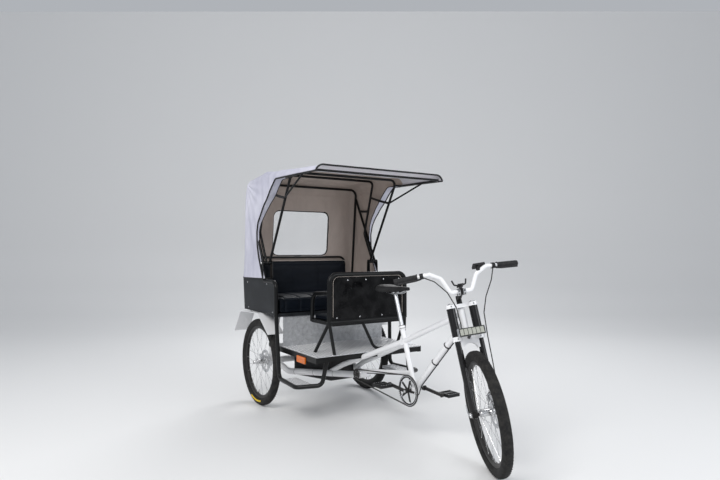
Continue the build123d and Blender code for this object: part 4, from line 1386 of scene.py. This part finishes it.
# %% Hub, disc and spokes together
def wheel_hub(name, hub_half, flange_r, disc_y):
    shell = lathe("hub_shell", [
        (10.2, -hub_half - 8), (15, -hub_half - 8), (17, -hub_half - 6), (17.5, -hub_half), (flange_r - 1, -hub_half),
        (flange_r, -hub_half + 1), (flange_r, -hub_half + 3), (flange_r - 1, -hub_half + 4), (21, -hub_half + 6),
        (18.5, -hub_half + 12), (18, 0), (18.5, hub_half - 12), (21, hub_half - 6), (flange_r - 1, hub_half - 4),
        (flange_r, hub_half - 3), (flange_r, hub_half - 1), (flange_r - 1, hub_half), (24, hub_half + 1),
        (24, disc_y + 2), (17, disc_y + 3), (10.2, disc_y + 3),
    ], "hub", steps=64, sharp=25)
    ring = lathe("disc_ring", [(r, disc_y + y) for r, y in ((65, -1), (90, -1), (90, 1), (65, 1))], "alloy", 120)
    rotor = disc.make("disc_rotor", "alloy", ring, side=disc_y / 1000)
    wires = spokes.make("wheel_spokes", "hub", hub_half=hub_half / 1000, flange=flange_r / 1000)
    dots = dot_carrier("disc_bolts", [
        (Vector((0.0205 * math.cos(a), (disc_y + 2.4) / 1000, 0.0205 * math.sin(a))), (0, 1, 0))
        for a in [math.radians(60 * k + 30) for k in range(6)]])
    screws = bolts.make("disc_screws", "crank_black", dots, radius=0.0022, height=0.002)
    hub = joined(name, [shell, rotor, wires, screws])
    shade(hub, 40)
    return hub


def set_wheel(name, body, place, hub_half, flange_r, disc_y):
    """One wheel's pieces, each in place of the CAD piece that it stands for."""
    carcass = lathe("tyre_carcass", mirrored(TYRE_HALF, (339.2, 0)), "tyre", steps=144, sharp=40)
    made_tyre = joined(name + "_road_tyre", [carcass, tread.make("tyre_tread", "tyre")])
    shade(made_tyre, 38)
    hoop = lathe("rim_hoop", mirrored(RIM_HALF), "rim", steps=144, sharp=28)
    valve = new_mesh("valve", [], [], "rim")
    valve_mesh = bmesh.new()
    bmesh.ops.create_cone(valve_mesh, cap_ends=True, segments=10, radius1=0.0032, radius2=0.0022, depth=0.034)
    valve_mesh.to_mesh(valve.data)
    valve_mesh.free()
    valve.data.transform(Matrix.Rotation(math.radians(6.4), 4, "Y") @ Matrix.Translation((0, 0, -0.247)))
    made_rim = joined(name + "_box_rim", [hoop, valve])
    shade(made_rim, 30)
    made_hub = wheel_hub(name + "_wheel_hub", hub_half, flange_r, disc_y)
    for obj, cad in ((made_tyre, "_tyre"), (made_rim, "_rim"), (made_hub, "_hub")):
        obj.data.transform(place)
        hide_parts(name + cad)
        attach(obj, body)
    return made_hub


REAR_HUB, FRONT_HUB = (30, 32, 44), (32, 30, 42)
about_face = Matrix.Rotation(math.pi, 4, "Z")
wheel_places = {
    "rear_right": ("rear_wheel_right", Matrix.Translation(spot(0, -500, 340)), REAR_HUB),
    "rear_left": ("rear_wheel_left", Matrix.Translation(spot(0, 500, 340)) @ about_face, REAR_HUB),
    "front": ("front_wheel", STEER @ Matrix.Translation(FRONT_AXLE), FRONT_HUB),
}
for name, (body, place, measures) in wheel_places.items():
    hub = set_wheel(name, body, place, *measures)
    print(name, "hub faces", len(hub.data.polygons))


# %% [markdown]
# The tyres carry a yellow band on their outer sidewall, here without any lettering. It is an arc of thin strip
# that follows the sidewall's own profile.

# %% Yellow bands
moulded("band_yellow", "yellow_band", (0.62, 0.42, 0.02), 0.55, 0.0012, 0.00008)
BAND_PROFILE = [(299, 27.9), (303, 29.3), (307, 30.1), (311, 30.3)]
BAND_STEPS = 30

for name, start, end, side in (("rear_right", -112, -76, -1), ("rear_left", -112, -76, -1), ("front", 150, 186, 1)):
    body, place = wheel_places[name][:2]
    points = []
    for k in range(BAND_STEPS + 1):
        a = math.radians(start + (end - start) * k / BAND_STEPS)
        points += [(r / 1000 * math.cos(a), side * y / 1000, r / 1000 * math.sin(a)) for r, y in BAND_PROFILE]
    band = new_mesh(name + "_sidewall_band", points, grid_faces(BAND_STEPS + 1, len(BAND_PROFILE)), "band_yellow")
    band.data.transform(place)
    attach(band, body)
print("bands made")

# %% [markdown]
# ## Chain
# A roller chain is two kinds of link in turn: inner links with rollers and outer links with pins. The path is
# the loop round the chainring and the sprocket. The tree sets out one point for each of the 130 links, picks
# the kind by whether the point's number is odd, and turns each link along the tangent.

# %% The loop and its links
BIG = (1350, 328, 48)
SMALL = (737.1, 320, 18)
CHAIN_Y = -58
CHAIN_PITCH, CHAIN_LINKS = 12.7, 130


def pitch_radius(teeth):
    return CHAIN_PITCH / (2 * math.sin(math.pi / teeth))


def chain_path():
    big, small = Vector(BIG[:2]), Vector(SMALL[:2])
    big_r, small_r = pitch_radius(BIG[2]), pitch_radius(SMALL[2])
    way = small - big
    lean = math.atan2(way.y, way.x)
    open_half = math.acos((big_r - small_r) / way.length)
    found = []
    for centre, radius, start, end in ((big, big_r, lean + open_half, lean + 2 * math.pi - open_half),
                                       (small, small_r, lean - open_half, lean + open_half)):
        count = max(8, int((end - start) * radius / 3))
        for k in range(count + 1):
            a = start + (end - start) * k / count
            found.append(centre + Vector((math.cos(a), math.sin(a))) * radius)
    return [spot(p.x, CHAIN_Y, p.y) for p in found]


links = Pattern("chain_links", count=CHAIN_LINKS, pitch=CHAIN_PITCH / 1000, roller=0.0039)
link_points, tangent = links.along("COUNT", "Count", links.count)


def link(y, tall, pins):
    """Two plates at y each side, with what joins them at both ends."""
    parts = []
    for side in (-1, 1):
        parts.append(links.moved(links.block(links.pitch, 0.001, tall * 0.62), (0, side * y, 0)))
        for end in (-0.5, 0.5):
            at_end = links.vector(links.pitch * end, side * y, 0.0)
            parts.append(links.moved(links.cylinder(10, tall / 2, 0.0011), at_end, turn=upright))
    for end in (-0.5, 0.5):
        at_end = links.vector(links.pitch * end, 0.0, 0.0)
        parts.append(links.moved(links.cylinder(8, pins, 2 * y + 0.0016), at_end, turn=upright))
    return links.together(*parts)


along_path = links.facing("X", "Y", tangent)
odd = links.index % 2
links.done(links.together(
    links.copies(link_points, link(0.0023, 0.0084, links.roller), along_path, odd < 0.5),
    links.copies(link_points, link(0.0034, 0.0080, 0.0018), along_path, odd > 0.5)))
chain = links.make("roller_chain", "chain_steel", line_carrier("chain_line", chain_path(), closed=True))
shade(chain, 40)
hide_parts("chain")
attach(chain, "root")
print("chain faces", len(chain.data.polygons))

# %% [markdown]
# ## Checker plate
# The floor, the panel under the bench and the two step treads are rolled plate with raised lozenges, each set
# across its neighbours. The tree lays out a grid, raises one lozenge at each point and turns it by 45 degrees
# one way or the other, as the point's row and column add to an even or an odd number.

# %% Raised lozenges
lozenges = Pattern("lozenges", wide=0.5, deep=0.9, columns=20, rows=36, long=0.0185, narrow=0.0052, height=0.0022)
lozenge_grid = lozenges.node("GeometryNodeMeshGrid", {}, {
    "Size X": lozenges.wide, "Size Y": lozenges.deep, "Vertices X": lozenges.columns, "Vertices Y": lozenges.rows})
lozenge = lozenges.dome(8, 4, lozenges.long, lozenges.narrow, lozenges.height)
row_number = lozenges.node("ShaderNodeMath", {"operation": "FLOOR"}, {0: lozenges.index / lozenges.rows})
turned = (row_number + lozenges.index % lozenges.rows) % 2
lozenges.done(lozenges.copies(
    lozenge_grid, lozenge, lozenges.vector(0.0, 0.0, turned * (math.pi / 2) + math.pi / 4)))


def plate_pattern(name, place, x, y, pitch=0.0315, finish="raised_plate", **sizes):
    """Lozenges over a flat piece; x and y are (low, high) in millimetres before the place matrix is applied."""
    wide, deep = (x[1] - x[0]) / 1000, (y[1] - y[0]) / 1000
    raised = lozenges.make(name, finish, wide=wide, deep=deep, columns=int(wide / pitch) + 1,
                           rows=int(deep / pitch) + 1, **sizes)
    raised.data.transform(place @ Matrix.Translation(((x[0] + x[1]) / 2000, (y[0] + y[1]) / 2000, 0)))
    shade(raised, 60)
    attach(raised, "root")
    return raised


# The floor's and the steps' lozenges take the near-white finish by default, a painted glint.
floor_pattern = plate_pattern("floor_lozenges", Matrix.Translation(spot(0, 0, 500)), (340, 838), (-446, 446))
kick_place = Matrix.Translation(spot(327.2, 0, 0)) @ Matrix.Rotation(math.pi / 2, 4, "Y")
plate_pattern("kick_lozenges", kick_place, (-738, -508), (-446, 446), finish="checker_plate")


def tread_tray(name, x, y, z):
    """A folded tray of plate, open below, from three (low, high) pairs in millimetres."""
    corners = [spot(x[i], y[j], z[k]) for k in (0, 1) for i, j in ((0, 0), (1, 0), (1, 1), (0, 1))]
    tray = new_mesh(name, corners, [(4, 5, 6, 7)] + grid_faces(2, 4, round_columns=True), "checker_plate", smooth=False)
    fold = tray.modifiers.new("fold", "BEVEL")
    fold.width = 0.0025
    fold.segments = 3
    tray = settle(tray)
    shade(tray, 50)
    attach(tray, "root")


TREAD_TOP = 280.8
for side, name in SIDES:
    tread_tray("step_tray_" + name, (424.2, 690.8), sorted((side * 522.8, side * 391.2)), (261, TREAD_TOP))
    step_y = sorted((side * 514, side * 400))
    plate_pattern("step_lozenges_" + name, Matrix.Translation(spot(0, 0, TREAD_TOP)), (434, 681), step_y,
                  pitch=0.0180, long=0.0105, narrow=0.0030)
print("floor lozenges", len(floor_pattern.data.polygons))

# %% [markdown]
# ## Small hardware
# Bolts, rivets, clips and trims are what the eye reads as real. Most of them are one shape set out at a few
# points, so they use the patterns from before. Pieces on the fork are made straight and then turned with it.

# %% Helpers for hardware
def seated(obj, body="root"):
    """Puts a piece on its body; what rides on the fork was made straight and is turned with it here."""
    if body == "steering":
        obj.data.transform(STEER)
    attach(obj, body)


def heads(name, pattern, finish, radius, height, dots, body="root"):
    """One pattern at several (point, facing) places."""
    made = pattern.make(name, finish, dot_carrier(name, dots), radius=radius, height=height)
    shade(made, 30)
    seated(made, body)


def collars(name, finish, start, end, count, radius, bead, body="root"):
    """Thin rings round a tube, evenly from start to end."""
    made = rings.make(name, finish, line_carrier(name, [start, end]), count=count, radius=radius, bead=bead)
    shade(made, 60)
    seated(made, body)


def both_sides(*places, facing=(0, 1, 0)):
    """Places of small hardware on the right and their mirror images on the left."""
    return [(spot(x, side * y, z), (facing[0], side * facing[1], facing[2])) for side in (-1, 1) for x, y, z in places]


FACING_UP = (0, 0, 1)
print("hardware helpers ready")

# %% [markdown]
# The back of the jump seat has rivets along its top and bottom, and a thin pale piping just inside its tube.
# The bench back has the same piping along its top, and the floor has a bright trim along its front edge.

# %% Rivets and trims
JUMP_FACE = 813.4
panel_rivets = [(spot(JUMP_FACE, y, 1017), (1, 0, 0)) for y in (-181, -26, 129, 270)]
panel_rivets += [(spot(JUMP_FACE, y, 752), (1, 0, 0)) for y in (-270, -79, 116, 285)]
heads("jump_panel_rivets", rivets, "trim", 0.0052, 0.0026, panel_rivets)
heads("side_panel_rivets", rivets, "trim", 0.0048, 0.0022, both_sides(
    (187, 530.3, 969), (-205, 530.3, 969), (300, 530.3, 762), (-180, 530.3, 762)))


def trim_line(name, line, radius, finish="trim"):
    seated(tube(name, line, radius, finish, fine=2))


trim_walk = rounded_line([(-302, 760), (-302, 1042), (302, 1042), (302, 760)], [0, 46, 46, 0], step=14)
trim_line("jump_panel_trim", [spot(JUMP_FACE, p.x, p.y) for p in trim_walk], 0.0012, "piping")
top_walk = rounded_line([(-421, 1040), (-421, 1148), (421, 1148), (421, 1040)], [0, 44, 44, 0], step=14)
trim_line("bench_back_trim", on_surface(backrest, [spot(-190, p.x, p.y) for p in top_walk], 0.0022), 0.0034, "piping")
trim_line("floor_front_trim", [spot(850.5, y, 497.5) for y in range(-452, 453, 56)], 0.0022)
print("rivets:", len(panel_rivets) + 8)

# %% Bolts on the cabin
heads("pivot_bolts", bolts, "hub", 0.0072, 0.006, both_sides((120, 546, 1130)))
heads("axle_caps", bolts, "hub", 0.0105, 0.008, both_sides((0, 554.5, 340)))
heads("guard_bolts", bolts, "hub", 0.0055, 0.004, both_sides((-150, 520, 735), (20, 520, 741.5), facing=FACING_UP))
heads("step_bolts", bolts, "hub", 0.0045, 0.003, both_sides((442, 457, 281), (673, 457, 281), facing=FACING_UP))
heads("caliper_bolts", bolts, "hub", 0.004, 0.003, both_sides((-87, 468.4, 363), (-65, 468.4, 363)))
heads("floor_screws", rivets, "hub", 0.005, 0.0016, [
    (spot(x, y, 500.4), FACING_UP) for x in (352, 592, 832) for y in (-437, -220, 0, 220, 437)])
heads("battery_screws", rivets, "hub", 0.005, 0.003, both_sides(
    (150, 209.5, 440), (350, 138.5, 440), facing=(0.33, 0.94, 0)))
print("cabin bolts set")

# %% Rings on the stays and ties on the down tube
for side, name in SIDES:
    a, b = spot(100, side * 296, 258), spot(707, side * 18, 308)
    collars("stay_seams_" + name, "black_plastic", a.lerp(b, 0.10), a.lerp(b, 0.66), 3, 0.0238, 0.0012)
collars("down_tube_ties", "black_plastic", spot(1662.3, 0, 654.2), spot(1548.9, 0, 535.8), 2, 0.0206, 0.0046)
collars("seat_collar", "crank_black", spot(1209.7, 0, 724), spot(1216, 0, 706), 2, 0.0214, 0.0018)
collars("housing_rings", "hub", spot(SMALL[0], -40, SMALL[1]), spot(SMALL[0], 40, SMALL[1]), 2, 0.0312, 0.0014)
CLAMP_HALF = [(0, -25), (9, -25), (11, -23), (11, -8), (14, -6)]
saddle_clamp = lathe("saddle_clamp", mirrored(CLAMP_HALF), "alloy", 32, closed=False)
saddle_clamp.data.transform(Matrix.Translation(spot(1131, 0, 944)))
seated(saddle_clamp)
print("clamps and ties set")

# %% [markdown]
# ## Cranks
# The chainring is held by five bolts on a dark spider, and each crank arm by one large bolt in the middle. All
# of these turn with the cranks, so they ride on that body.

# %% Chainring bolts and crank caps
BOLT_CIRCLE = 76
CRANK_X, CRANK_Z = BIG[:2]
ring_bolts = []
for k in range(5):
    a = math.radians(72 * k)
    place = spot(CRANK_X + BOLT_CIRCLE * math.cos(a), -60.6, CRANK_Z - BOLT_CIRCLE * math.sin(a))
    ring_bolts.append((place, (0, -1, 0)))
heads("chainring_bolts", bolts, "trim", 0.0042, 0.003, ring_bolts, "crank")
heads("crank_caps", rivets, "hub", 0.010, 0.004, both_sides((CRANK_X, 86.3, CRANK_Z)), "crank")
ring_band = lathe("chainring_band", [(90.0, -60.9), (93.0, -60.9), (93.0, -60.3), (90.0, -60.3)], "alloy")
ring_band.data.transform(Matrix.Translation(spot(CRANK_X, 0, CRANK_Z)))
seated(ring_band, "crank")
CRANK_TILT, CRANK_LENGTH = math.radians(-4), 170
for side, name in ((1, "left"), (-1, "right")):
    x = CRANK_X + side * CRANK_LENGTH * math.cos(CRANK_TILT)
    z = CRANK_Z + side * CRANK_LENGTH * math.sin(CRANK_TILT)
    pin_dots = [(spot(x + dx, side * y, z + dz), (0, 0, dz)) for dx in (-43, 43) for y in (104, 122, 140, 158, 176)
                for dz in (-10, 10)]
    heads("pedal_pins_" + name, rivets, "hub", 0.0022, 0.0022, pin_dots, name + "_pedal")
print("crank hardware set")

# %% [markdown]
# ## Fork and cockpit
# The lamp is a row of six pale cells in a black housing. Silver hardware closes the front axle and the bar
# clamp, and the grips have moulded rings.

# %% Lamp cells
cells = Pattern("lamp_cells", count=6, pitch=0.0232, wide=0.0200, tall=0.034, deep=0.003)
cell_line = cells.node("GeometryNodeMeshLine", {}, {
    "Count": cells.count, "Start Location": cells.vector(0.0, cells.pitch * -2.5, 0.0),
    "Offset": cells.vector(0.0, cells.pitch, 0.0)})
cells.done(cells.copies(cell_line, cells.block(cells.deep, cells.wide, cells.tall)))
LAMP = fork_spot(442, 141.4, 0)
lamp_frame = Matrix(((AHEAD.x, 0, UP.x, LAMP.x), (0, 1, 0, 0), (AHEAD.z, 0, UP.z, LAMP.z), (0, 0, 0, 1)))
lamp_cells = cells.make("lamp_cells", "lamp_cell")
lamp_caps = new_mesh("lamp_caps", [], [], "alloy")
cap_mesh = bmesh.new()
for side in (-1, 1):
    made = bmesh.ops.create_cube(cap_mesh, size=1.0)
    for vertex in made["verts"]:
        vertex.co = Vector((vertex.co.x * 0.036 - 0.0174, vertex.co.y * 0.003 + side * 0.0755, vertex.co.z * 0.046))
bmesh.ops.bevel(cap_mesh, geom=cap_mesh.edges[:], offset=0.0008, segments=2, affect="EDGES")
cap_mesh.to_mesh(lamp_caps.data)
cap_mesh.free()
shade(lamp_caps, 30)
for piece in (lamp_cells, lamp_caps):
    piece.data.transform(lamp_frame)
    seated(piece, "steering")
print("lamp cells:", len(lamp_cells.data.polygons) // 6)

# %% Axle, clamp, grips and caliper
CAP_PROFILE = [(0, 94), (9, 94), (12, 92), (13, 88), (13, 82), (0, 82)]
for side, name in SIDES:
    cap = lathe("front_axle_cap_" + name, CAP_PROFILE, "hub", 32, closed=False)
    if side < 0:
        cap.data.transform(Matrix.Scale(-1, 4, (0, 1, 0)))
        cap.data.flip_normals()
    cap.data.transform(Matrix.Translation(FRONT_AXLE))
    seated(cap, "steering")
LEVER = [spot(*p) for p in ((2010, -95, 340), (1998, -98, 352), (1985, -99, 372), (1979, -98, 392))]
seated(tube("release_lever", LEVER, 0.0036, "hub", fine=4), "steering")
CLAMP = fork_spot(676, 96, 0)
SLEEVE_HALF = [(14, -24.4), (19, -24.4), (20.6, -23), (20.6, -9), (19.4, -8)]
sleeve = lathe("bar_clamp_sleeve", mirrored(SLEEVE_HALF), "alloy", 48)
sleeve.data.transform(Matrix.Translation(CLAMP + Vector((0, 0, -0.002))))
seated(sleeve, "steering")
heads("clamp_bolts", bolts, "crank_black", 0.0028, 0.003, [
    (CLAMP + Vector((0.0205, y, dz)), (1, 0, 0)) for y in (-0.016, 0.016) for dz in (-0.010, 0.008)], "steering")
GRIP_START, GRIP_END = Vector((-0.014, 0.165, 0.121)), Vector((-0.060, 0.365, 0.105))
grip_way = (GRIP_END - GRIP_START).normalized()
for side, name in ((1, "left"), (-1, "right")):
    a, b = [CLAMP + GRIP_START + grip_way * reach for reach in (0.084, 0.203)]
    a, b = Vector((a.x, side * a.y, a.z)), Vector((b.x, side * b.y, b.z))
    collars("grip_rings_" + name, "grip_rubber", a, b, 24, 0.0166, 0.0009, "steering")
heads("fork_bolts", bolts, "hub", 0.009, 0.005, [
    (fork_spot(620.5, 30, side * 66), tuple(UP)) for side in (-1, 1)], "steering")
heads("crown_bolts", bolts, "hub", 0.0035, 0.003, [
    (fork_spot(up, 58.5, side * 66), tuple(AHEAD)) for side in (-1, 1) for up in (417, 605)], "steering")
heads("front_caliper_bolts", bolts, "hub", 0.0035, 0.003, [
    (fork_spot(up, 4, 54.6), (0, 1, 0)) for up in (68, 88)], "steering")
SCREEN_TURN = Matrix(((0, 0.8, -0.6, 0), (1, 0, 0, 0), (0, 0.6, 0.8, 0), (0, 0, 0, 1)))
screen = new_mesh("display_screen", [
    (x, y, 0.0064) for x, y in ((-0.031, -0.018), (0.031, -0.018), (0.031, 0.018), (-0.031, 0.018))], [(0, 1, 2, 3)],
    "gloss_black_sheet", smooth=False)
screen.data.transform(Matrix.Translation(CLAMP + Vector((-0.026, 0.128, 0.128))) @ SCREEN_TURN)
seated(screen, "steering")
print("cockpit hardware set")


# %% [markdown]
# ## Floor and light
# The studio is a pale floor that runs up into a backdrop, a broad soft key from the camera's left, a weaker fill
# from its right and a gentle rim light behind. Pale backgrounds come from the floor's own colour.

# %% Floor, lamps and world
FLOOR_LINE = [(6.5, 0.0), (-4.5, 0.0), (-5.6, 0.12), (-6.4, 0.55), (-6.9, 1.3), (-7.1, 2.4), (-7.2, 6.0)]
turn_to_camera = Matrix.Rotation(math.radians(-33), 4, "Z")
floor_points = [turn_to_camera @ Vector((reach, side, height)) for reach, height in FLOOR_LINE for side in (-9.0, 9.0)]
Finish("floor", "studio_floor", (0.82, 0.82, 0.82), 0.9)
studio_floor = new_mesh("studio_floor", floor_points, grid_faces(len(FLOOR_LINE), 2), "floor", sharp=80)
studio_floor.data.flip_normals()


def soft_lamp(name, place, aim, size, power, colour=(1, 1, 1)):
    data = bpy.data.lights.new(name, "AREA")
    data.shape = "DISK"
    data.size = size
    data.energy = power
    data.color = colour
    lamp = added(name, data)
    lamp.location = place
    lamp.rotation_euler = (Vector(aim) - Vector(place)).to_track_quat("-Z", "Y").to_euler()


soft_lamp("key", (2.6, -4.4, 4.6), (0, 0, 0.8), 3.4, 250, (1.0, 0.985, 0.96))
soft_lamp("fill", (4.8, 2.2, 2.6), (0.2, 0, 0.9), 3.2, 80, (0.95, 0.97, 1.0))
soft_lamp("rim", (-3.8, 2.8, 4.2), (-0.3, 0, 1.0), 2.6, 110)
world = bpy.data.worlds.new("studio")
world.use_nodes = True
sky = world.node_tree.nodes["Background"].inputs
sky["Color"].default_value = (0.86, 0.90, 0.96, 1)
sky["Strength"].default_value = 0.50
bpy.context.scene.world = world
bpy.context.scene.view_settings.view_transform = "Standard"
